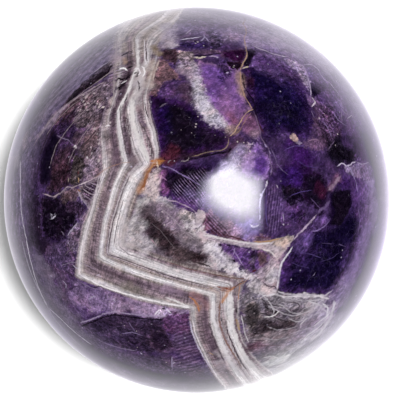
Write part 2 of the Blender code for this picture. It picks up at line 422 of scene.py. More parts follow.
# Cells of one colour with sharp borders: name, layer, colour at the edge and in the middle, how far the
# edge colour reaches, softness of the border, opacity, mottling, outline
CELLS = (
    ("violet of the upper middle", 0, "806080", "74508a", 5, 3.4, 1.0, 0.3,
     "198,60 222,66 236,62 243,65 240,71 240,82 243,95 247,102 251,108 246,113 242,119 238,125 234,131 "
     "222,132 208,110 200,84"),
    ("great dark cell", 0, "2e1642", "10051a", 10, 2.4, 1.0, 0.5,
     "149,96 157,93 168,97 178,100 188,104 197,113 205,123 213,129 226,131 231,136 227,143 222,149 "
     "205,152 190,155 183,161 160,161 159.5,150 158,140 157,132 155,125 153,119 151,113 150,105"),
    ("upper right dark cell", 0, "301c46", "12082c", 13, 4.5, 1.0, 0.55,
     "247,62 252,56 262,56 272,61 282,67 290,72 297,80 303,90 309,97 312,106 311,116 314,123 312,131 "
     "305,138 296,137 289,134 280,136 268,140 261,133 257,119 253,110 248,102 244,95 241,82 242,70"),
    ("twin layered cell", 0, "2e1840", "0a0218", 6, 3.4, 1.0, 0.6,
     "163,168 172,170 186,163 198,165 208,164 214,170 208,178 207,190 203,199 202,210 190,207 180,203 "
     "170,199 160,196 158,184"),
    ("grey brown cell", 0, "c0b6ba", "726470", 6, 3.0, 1.0, 0.45,
     "150,196 160,198 172,204 180,211 188,222 196,233 212,240 222,244 219,256 211,265 200,266 180,263 "
     "158,262 136,253 128,246 131,228 139,206"),
    ("right dark polygon", 0, "34224c", "110926", 9, 1.6, 1.0, 0.6,
     "294,247 300,240 308,232 316,226 328,226 338,220 352,206 362,224 356,250 346,272 333,289 325,294 "
     "313,293 300,293 285,293 278,290 280,275 281,268 283,262 287,257"),
    ("foot dark cell", 0, "33263c", "2e2238", 8, 2.2, 1.0, 0.6,
     "80,324 95,319 105,314.5 115,313 130,315.5 150,317.5 165,318 163,326 166,336 168,346 160,352 "
     "148,352 137,351 120,347 100,339 88,332"),
    ("milky veil", 1, "a496a8", "c4bcc8", 5, 4.5, 0.95, 0.7,
     "189,70 191,80 190,90 194,105 197,112 201,116 205,122 210,126 222,128 230,131 231,127 221,115 "
     "214,107 209,98 205,90 203,80 199,68 192,58 181,60 178,68"),
    ("white beside the band", 1, "c4b0b2", "c6b4b6", 4, 4.0, 0.95, 0.6,
     "150,170 158,168 163,176 160,188 155,198 147,196 143,188 147,178"),
    ("cream below the dark cell", 1, "c8bcc2", "ccc0c6", 4, 4.5, 0.95, 0.7,
     "176,208 184,209 192,214 200,221 208,231 204,236 196,232 187,225 180,218"),
    ("black brown polygon", 1, "44343c", "20161a", 6, 4.5, 1.0, 0.55,
     "139,219 148,216 156,219 164,222 171,229 178,239 184,246 194,250 204,252 208,258 206,264 196,263 "
     "184,260 172,257 163,250 155,243 147,234 141,227"),
    ("maroon foot cell", 1, "4b2e4c", "54365a", 4, 4.5, 0.95, 0.6,
     "160,314 176,312 188,314 188,330 180,334 168,333 163,326"),
    ("black foot cell", 1, "352639", "261a2c", 4, 4.5, 1.0, 0.6,
     "150,330 162,330 171,336 172,348 160,352 150,346"),
    ("dark speckle", 1, "6a6064", "302a2c", 5, 3.4, 0.95, 0.7,
     "246,303 252,301 258,303 262,310 263,318 262,327 258,333 252,336 247,330 243,322 243,312"),
    ("dark grey of the clouds", 1, "645a68", "4c444e", 4, 4.0, 0.95, 0.7,
     "262,300 268,302 272,308 280,310 292,309 302,304 306,308 300,314 290,317 276,318 266,318 262,312"),
    ("dark bar in the clouds", 2, "443a42", "342a30", 4, 4.5, 0.9, 0.7,
     "258,321 268,319 282,320 294,319 299,322 294,327 284,330 274,332 265,333 258,336 252,338 251,334 "
     "256,328"),
    ("maroon haze of the low clouds", 2, "806a78", "70586a", 4, 4.5, 0.85, 0.5,
     "248,342 256,344 268,344 284,342 300,334 302,338 290,346 276,352 262,354 252,352"),
    ("bright crystals", 2, "a090a6", "a090a6", 3, 2.4, 0.6, 0.9,
     "154,315 160,309 166,306 169,312 165,317 158,318"),
    ("granular lilac of the left", 0, "62535f", "5a4c56", 4, 4.0, 1.0, 1.0,
     "80,97 88,91 98,85 104,83 110,84 112,90 108,98 104,103 100,110 97,118 94,126 86,128 76,129 72,122 "
     "74,112 77,104"),
    ("brown tan of the left", 0, "5c4c56", "5e4c54", 4, 4.5, 1.0, 0.8,
     "98,114 105,110 110,112 108,119 103,126 100,136 100,148 94,158 84,158 80,148 84,134 91,126 96,120"),
    ("near black of the left", 0, "1c1022", "100816", 5, 5.0, 1.0, 0.8,
     "41,197 50,198 56,198 62,201 70,203 80,205 84,208 80,214 76,222 70,230 66,237 56,240 48,238 43,232 "
     "41,222 41,208"),
    ("black parallelogram of the left", 0, "1e1226", "10081a", 3, 3.4, 1.0, 0.35,
     "51,131 57,132 60,138 59,149 53,157 51,170 50,182 40,184 40,172 41,160 45,150 49,141"),
    ("violet haze of the left", 0, "33243f", "281a36", 6, 6.0, 0.9, 0.35,
     "44,129 50,127 50,134 47,142 43,150 40,160 39,172 39,190 31,190 29,176 29,160 33,146 38,136"),
    ("dark olive of the left", 0, "30262c", "322a2c", 3, 3.6, 1.0, 0.9,
     "72,151 82,157 87,163 85,172 84,180 77,185 69,186 70,172 72,160"),
    ("plum by the left rim", 0, "281c30", "201526", 5, 6.0, 0.95, 0.4,
     "29,192 40,192 41,208 42,224 44,234 48,240 56,243 48,254 40,256 34,248 30,236 28,222 27,206"),
    ("lilac by the band", 0, "6f6175", "58495f", 3, 3.0, 1.0, 0.8,
     "79,221 86,210 89,214 85,226 82,236 80,248 72,252 66,246 67,238 73,230"),
    ("dusky low left", 0, "3e2e46", "4a3a58", 5, 3.5, 1.0, 0.7,
     "44,246 56,242 66,241 72,251 77,262 75,276 60,272 46,262"),
    ("maroon heart of the left", 1, "2e1e2a", "2a1a24", 4, 4.5, 0.9, 0.8,
     "53,156 60,149 70,151 73,158 70,172 68,186 62,190 56,193 45,193 50,182 52,168"),
    ("deep blue of the left", 1, "2e2038", "2a1c34", 4, 5.0, 0.6, 0.7,
     "58,121 66,119 74,123 77,129 74,137 70,144 62,150 58,146 60,140 57,132 52,129"),
    ("rose brown of the left", 1, "52404e", "54424e", 3, 5.0, 0.6, 0.7,
     "78,129 86,128 84,136 80,147 76,150 72,146 72,138 75,132"),
    ("grey lilac haze of the left", 1, "75646f", "786777", 3, 4.0, 0.85, 0.9,
     "92,153 99,147 102,158 104,168 101,174 93,178 84,181 84,172 87,162"),
    ("olive under the left crack", 1, "54444a", "4c3b40", 3, 3.6, 0.85, 0.8,
     "63,191.5 70,189 77,188 79,195 74,200 66,202 60,199"),
    ("comb of the left", 1, "9e8e9a", "342630", 3, 2.4, 0.9, 0.8,
     "79,187 88,182.5 97,178 102,175 100,184 96,192 92,202 89,208 84,202 80,196"),
    ("purple below the comb", 1, "2e1f31", "2b1c2e", 3, 4.0, 0.9, 0.8,
     "70,201 80,203 86,208 80,216 72,214 66,207"),
    ("red brown ridge of the left", 2, "54404a", "4e3a40", 3, 3.6, 0.85, 0.7,
     "70,102 79,97 82,99 76,108 70,115 61,119 58,124 54,124 59,116 62,110"),
    ("lilac strip of the left", 2, "796879", "8c7b8c", 3, 2.6, 0.8, 0.4,
     "69,101 62,107 55,112 48,120 43,128 36,135 30,141 36,138 46,131 53,125 58,118 63,112 68,106"),
    ("olive black of the left", 2, "2c1e28", "2a1c24", 3, 3.4, 0.85, 0.8,
     "61,119 68,115 75,109 76,116 72,122 65,121 60,125"),
    ("black fissure", 3, "100610", "221822", 2, 1.8, 1.0, 0.8,
     "112,60 104,65.5 96,71.5 88,78.5 82,83 79,88 74,91 69,97 64,103 60,108.5 66,105 72,100.5 78,95.5 "
     "84,90.5 90,86.5 96,83 101,79.5 106,76.5 110,71 112.5,66"),
    ("black above the wedge", 1, "4a343c", "36242a", 3, 3.4, 0.9, 0.7,
     "159,55.5 163,52 166,50 170,49 175,50 178,56 176,66 172,65 168,60 162,57.5"),
    ("brown wedge", 1, "6c505a", "664c54", 4, 3.0, 1.0, 0.7,
     "160,57.5 166,61 172,67 178,74 180,80 172,80 165,82 160,88 157,96 150,95 149,90 153,80 156,70 "
     "158,62"),
    ("violet lobe", 2, "4f365b", "523663", 3, 3.4, 0.85, 0.6,
     "160,96 161,89 164,84 168,81.5 173,81 175,86 175,93 171,98 165,99"),
    ("dark violet strip at the top", 2, "3c2c48", "281a40", 4, 2.8, 1.0, 0.6,
     "176,44 181,41 188,40.5 196,40 203,39.5 209,40 210,47 205,50 196,50 186,50 179,47.5"),
    ("black patch at the top", 2, "3a2e4a", "2e243a", 4, 5.0, 0.9, 0.8,
     "207,33 213,31 220,31 223,36 224,44 222,49 212,49 208,46 209,40"),
    ("brown under the strip", 3, "4d3a50", "4d3a50", 3, 2.4, 0.85, 0.5,
     "194,50.5 206,50 220,50 221,53 212,54 206,55 194,54.5"),
    ("granular below the strip", 1, "7a6b72", "75666c", 4, 2.4, 1.0, 1.0,
     "178,50 186,51 193,52 195,57 193,63 190,70 184,70 180,62 177,56"),
    ("maroon by the top crack", 1, "48304a", "260a2a", 3, 3.4, 1.0, 0.5,
     "220,52 226,50 232,49.5 240,49 246,49.5 247,54 246,59 243,62 240,63 234,62 228,60 222,57"),
    ("black under the maroon", 2, "281420", "140810", 2, 2.0, 1.0, 0.7,
     "226,60 232,61 238,62 243,63 242,67 238,69 232,69.5 228,66"),
    ("dark speckle of the upper middle", 2, "46305a", "442c58", 3, 4.0, 0.85, 0.9,
     "219,61 225,60 228,66 232,70 228,77 222,82 219,80 218,70"),
    ("clouded violet roof", 1, "624a7a", "48305f", 4, 3.0, 0.9, 0.5,
     "252,57 262,53 272,56 284,59 290,63 298,68 300,76 292,77 284,74 276,72 266,72 256,70 250,66"),
    ("clouded tan ridge", 2, "93819f", "94859c", 3, 3.6, 0.85, 0.8,
     "284,58 290,58.5 298,62 303,65 306,72 309,82 308,90 304,84 300,76 296,71 290,66"),
    ("black left of the roof", 2, "1a1020", "100818", 2, 1.6, 1.0, 0.4,
     "246,50 252,49 256,51 253,58 250,64 246,67 244,63 246,58 248,54"),
    ("violet corner of the upper right", 1, "371a43", "3b214e", 3, 3.6, 0.85, 0.6,
     "243,72 249,70 252,74 250,82 246,86 243,82"),
    ("right lobe", 1, "120822", "06001a", 4, 3.4, 1.0, 0.5,
     "304,65 312,65 318,69 321,76 326,82 333,87 338,93 340,100 334,104 326,104 318,100 312,96 310.5,88 "
     "308,76"),
    ("triangle of the right", 3, "6c547a", "664c72", 2, 1.6, 0.8, 0.6,
     "306,94 311,97 315,102 312,107 309,104 307,100"),
    ("brown mauve clouds of the right", 1, "42304e", "3a2842", 4, 4.5, 0.85, 1.0,
     "318,108 326,105 334,106 339,112 340,122 338,134 332,142 325,142 321,136 318,126 320,116"),
    ("orange chip", 3, "b79a98", "c0a4a0", 2, 1.2, 0.9, 0.3,
     "289.5,134 291.5,136 292.5,132.5 294.5,132.5 296,137 299,140 297,142 293,141 290,138"),
    ("lilac chip", 3, "9a86a8", "a08eaa", 2, 1.4, 0.85, 0.3,
     "297,140 300,141.5 302.5,143 299.5,145 296,143.5"),
    ("rose patch of the right", 1, "644a68", "6c5070", 4, 4.5, 0.8, 0.5,
     "303,145 308,141 313,139 319,139.5 325,142 324,148 317,150 309,148"),
    ("black green of the right", 2, "1c1626", "120c18", 4, 5.0, 1.0, 0.7,
     "327,147 332,141 336,137 339,141 343,146 350,149 358,152 360,157 356,161 350,163.5 344,164 338,164 "
     "334,159 330,157"),
    ("light under the ragged line", 1, "7c6a8b", "786788", 4, 2.4, 0.9, 0.5,
     "344,166 350,166 356,163 364,164 370,164 374,172 372,182 362,180 352,176 346,172"),
    ("black of the right", 0, "1a0c2c", "0c0219", 3, 4.0, 1.0, 0.35,
     "331,193 340,186 350,188 351.5,192 351.5,210 351,230 349,244 346,247 338,244 332,238 329,228 "
     "330,220 334,212 330,204"),
    ("violet above the black", 1, "3a2456", "2c1646", 3, 2.6, 0.9, 0.5,
     "336,180 342,176 350,178 352,188 346,190 338,190"),
    ("maroon black of the right", 0, "1a0a22", "10041a", 4, 4.5, 0.9, 0.4,
     "304,176 312,173 320,173 326,180 327,190 325,200 318,208 310,204 304,196 302,186"),
    ("violet patch of the right", 1, "543a70", "634880", 3, 2.8, 0.55, 0.6,
     "311,222 316,217 322,215 329,217 330,221 325,226 318,230 311,231 308,227"),
    ("blue violet right of the highlight", 0, "281244", "34185a", 4, 4.5, 0.85, 0.5,
     "284,168 292,164 300,168 304,176 303,187 296,190 288,186"),
    ("black green right of the highlight", 1, "04000e", "02000a", 4, 4.5, 0.9, 0.5,
     "281,186 290,186 300,190 302,200 296,206 288,206 283,198"),
    ("speckled violet of the right", 1, "402a56", "3c2654", 3, 4.5, 0.85, 1.0,
     "293,206 299,204 305,210 306,218 300,224 294,224 290,218 291,211"),
    # Violet stone, drawn brighter and paler at its edge with painted glow of the softbox's soft edge
    ("bright violet triangle", 0, "86659f", "56367c", 6, 2.6, 1.0, 0.35,
     "257,142 261,146 265,151 269,156 270.5,163 270.5,170 267,177 262,181 254,178.5 247,175 242,170 "
     "242,164 246,157 251,149"),
    # Milky quartz, made paler near the highlight with painted glow of the softbox's soft edge
    ("milk and glow left of the bright triangle", 1, "beacbc", "b0a4bc", 3, 4.0, 0.95, 0.6,
     "228,161 236,154 244,147 251,141.5 255,141.5 250,148 245,155 241,162 239,168 230,168"),
    ("purple triangle", 1, "674a76", "54386c", 4, 1.8, 1.0, 0.6,
     "219,243 226,244 236,246.5 248,249 258,249.5 264,251 269,254 270,258 267,264 261,267 257,270 "
     "253,274 248,271 241,266 234,261 228,256 222,250"),
    ("dark heart of the triangle", 2, "301c38", "281434", 2, 3.4, 0.8, 0.7,
     "251,250 258,250 259,256 256,262 253,270 250,270 250,260"),
    ("maroon of the triangle", 3, "634456", "584048", 2, 2.6, 0.85, 0.5,
     "258,252 264,252 268,255 268,261 264,265 259,266 258,260"),
    ("white band", 2, "bcaab6", "b2a3ac", 1.5, 1.3, 1.0, 0.35,
     "196,232 204,231.5 212,234.5 224,237.5 236,240 247,242 258,243 268,242.5 278,239.5 288,237 "
     "295,234.5 292,241 288,247 283,253 279,259 277,262 275,257 270,251.5 263,249.5 254,248.5 246,247.5 "
     "236,245 228,243 219,242 212,241 203,239 197,236"),
    ("cream end of the white band", 3, "c2afa9", "e0cac0", 2, 2.6, 0.8, 0.5,
     "270,241.5 280,239 289,236.5 294,235 290,242 285,247 280,248 275,246"),
    ("pale left of the triangle", 1, "ccc0ca", "d8d0d8", 3, 3.6, 0.95, 0.6,
     "203,240 216,243 222,251 230,259 240,267 249,274 256,278 250,280 240,276 226,272 216,268 212,258 "
     "206,248"),
    ("mauve right of the triangle", 0, "a08d9b", "aa98a3", 3, 3.6, 0.95, 0.6,
     "270,259 277,262 283,262 280,270 279,280 277,290 268,286 262,281 256,277 258,271 264,267 268,264"),
    ("pale below the triangle", 0, "b0a5ad", "bbb0b7", 3, 2.4, 0.95, 0.6,
     "250,280 258,279 264,284 272,288 277,292 268,296 258,294 250,290 246,284"),
    ("maroon strip above the white band", 3, "6a4656", "442230", 2, 2.2, 0.9, 0.5,
     "202,229.5 208,227.5 216,228.5 223,232 232,235.5 240,238 247,241 240,240.5 230,238.5 218,236 "
     "208,233"),
    ("brown pink triangle", 1, "76566a", "5a3c52", 3, 2.4, 1.0, 0.6,
     "203,216 210,208 222,222 236,237 226,236 212,230 203,229"),
    ("rose beside the brown pink", 2, "8c7080", "8c7080", 4, 4.5, 0.8, 0.6,
     "222,222 232,222 240,228 250,234 262,238 270,240 258,241 246,239 236,237"),
    ("light triangle", 2, "ab9ca6", "b8aab2", 2, 0.9, 0.95, 0.3,
     "199,208 205,212 206,217 202,224 196,226 194,219"),
)

# Soft tints over everything below the fine lines: name, colour, radius, opacity, where
TINTS = (
    ("blue violet heart of the dark cell", "24104a", 6, 0.7, "163,112 166,128"),
    ("wide dark of the brown cell", "382c34", 6, 0.55, "141,207 148,219 155,233 163,246 175,256 192,261"),
    ("violet in the dark cell", "100824", 6, 0.6, "192,112 196,136"),
    ("black of the dark cell", "06010a", 12, 0.7, "178,118 184,142"),
    ("dark cell's right end", "1d1222", 8, 0.6, "206,136 218,140"),
    ("brown speckle over the dark cell", "45303e", 6, 0.7, "184,88 188,100"),
    ("brown foot of the dark cell", "241018", 4, 0.7, "166,158 186,157 206,154"),
    ("violet below the gold line", "2c1c44", 5, 0.6, "204,162 222,164"),
    ("pink of the upper middle", "835c7e", 9, 0.45, "229,102 228,114"),
    ("deep violet of the upper middle", "5e3f84", 9, 0.6, "209,72 214,86"),
    ("red dots of the upper middle", "7c4b63", 3, 0.7, "229,116 235,121"),
    ("tan by the gold line", "94786e", 3.5, 0.7, "239,76 241,94"),
    ("tan at the gold line's bend", "8c766e", 3.5, 0.7, "229,129 235,131"),
    ("magenta by the gold line", "8a5c7e", 6, 0.8, "247,122 252,130"),
    ("pink speckle", "482e42", 6, 0.75, "236,140 232,152 244,150"),
    ("grey white by the branch", "9e8295", 4, 0.7, "254,134"),
    ("red brown edge of the upper right", "2e1226", 3.5, 0.8, "251,80 252,94"),
    ("tan of the veil", "8a7888", 7, 0.75, "186,66 192,74"),
    ("tan fleck right", "64445f", 4, 0.8, "338,178 331,186"),
    ("violet rim of the right polygon", "43285e", 6, 0.8, "286,262 285,276"),
    ("haze on the right polygon", "5a447a", 6, 0.7, "298,246 308,242"),
    ("orange stain", "a6785c", 3.2, 0.7, "155,162 150,168 146,176 143,185 139,191"),
    # These three are painted glow round the highlight, the soft edge of the softbox; the first also has
    # milky quartz under it
    ("milk and glow by the highlight", "988cac", 6, 0.8, "226,168 236,162 243,154"),
    ("painted glow at the triangle's left", "a888ba", 6, 0.7, "246,166 250,156"),
    ("lavender glow below the highlight", "7a6aa4", 7, 0.8, "240,226 252,230"),
    ("tan below the highlight", "866c7e", 6, 0.7, "226,224 234,232"),
    ("bright stripes of the twin layers", "8a78ae", 5, 0.7, "190,196 198,200"),
    ("violet cloud of the upper right", "48345f", 8, 0.45, "262,68 276,72 288,78"),
    ("black heart of the upper right", "0a0420", 9, 0.7, "262,108 284,112 298,120"),
    ("blue of the upper right", "261648", 6, 0.6, "256,92 268,92"),
    ("pale cloud inside the bands", "c8bfc4", 9, 0.6, "132,228 128,238 142,246"),
    ("grey smoke over the brown cell", "82767e", 5, 0.6, "186,238 196,244"),
    ("white cloud by the right rim", "ece8ee", 9, 0.9, "328,312 322,326 312,338"),
    ("rust at the bands' bend", "a8683c", 2.4, 0.7, "156,160 161,161"),
    ("rust at the low bend", "a87048", 3.0, 0.7, "196,303 200,306"),
    ("violet haze on the right polygon's edge", "443060", 6, 0.4, "347,250 345,262"),
    ("pale by the top bands", "bcb0bc", 6, 0.75, "169,43 168,34 166,26"),
    ("pale of the outermost band", "a898a6", 6, 0.6, "118,60 113,54"),
    ("pale of the low bands", "cfc2ca", 7, 0.6, "224,354 226,366"),
    ("dark inside the left arcs", "382834", 6, 0.7, "82,104"),
    ("pink of the left rim", "b08c94", 5, 0.5, "25,137 24,146"),
    ("pale edge of the clouds", "cfc8d2", 7, 0.6, "331,308 325,318 318,328"),
    ("pale edge of the low clouds", "d8d2d8", 6, 0.5, "284,354 296,346 308,337"),
    ("grey light of the low clouds", "a8a0aa", 8, 0.6, "306,316 316,308 322,318"),
    ("violet cloud of the right polygon", "2e1e48", 6, 0.6, "290,256 300,262 316,250"),
    ("orange heart", "a87840", 1.9, 0.8, "160,161 159,163"),
    ("red brown by the wedge", "461d2b", 6, 0.8, "166,156 172,152"),
    ("olive by the wedge", "2e1e2a", 4, 0.7, "183,159 189,158"),
    ("magenta margin", "8a5488", 3.5, 0.7, "162,176 163,188"),
    ("violet of the twin layers", "5a3a78", 6, 0.7, "178,202 190,202"),
    ("grey lilac in the brown cell", "7c6a7c", 6, 0.8, "165,212 176,222"),
    ("olive in the brown cell", "4e4044", 6, 0.6, "184,256 172,254"),
    ("white below the polygon", "c9c0c6", 4, 0.8, "208,249 216,252"),
    ("mauve below the polygon", "b0a6ae", 6, 0.8, "214,262 222,262"),
    ("white right of the triangle", "cfc6d0", 4, 0.8, "272,280 274,272"),
    ("rose among the low clouds", "54394a", 5, 0.85, "250,347 262,346"),
    ("white among the low clouds", "ffffff", 8, 1.0, "268,362 280,360"),
    ("light in the foot cell", "483956", 7, 0.6, "106,332 116,334"),
    ("orange in the bands", "c08a70", 1.6, 0.6, "229,291 226,297 222,302"),
    ("dark red in the bands", "86584c", 1.8, 0.8, "223,289 232,289"),
    ("purple in the bottom run", "967e96", 4, 0.6, "166,288 180,291"),
    ("lilac top of the right lobe", "46387a", 4, 0.7, "308,70 312,76"),
    ("maroon of the right", "3c1630", 4, 0.7, "320,188 323,194"),
    ("violet under the right ridge", "5a4070", 5, 0.6, "320,98 328,97"),
    ("brown of the upper stack", "8d7566", 2.5, 0.8, "124,59 125,62"),
    ("red brown in the bottom run", "8a666a", 4, 0.7, "194,296 208,306"),
    ("olive in the bottom run", "77706a", 3.5, 0.6, "122,285 138,288"),
    ("white mass of the stack", "b3a9ad", 7, 0.85, "140,70 140,88 136,100"),
    ("cream of the stack", "b9a79c", 4, 0.6, "152,62 148,84"),
    ("olive spots of the stack", "8a7862", 3, 0.7, "154,46 158,54"),
    ("brown triangle of the stack", "88767c", 3, 0.85, "138,108"),
    ("grey oval", "7e6d74", 3.6, 0.8, "135,160"),
    ("violet brown edge", "5e4a58", 4, 0.7, "116,152 115,163"),
    ("brown edge of the run", "65545a", 3, 0.7, "104,194 106,200"),
)

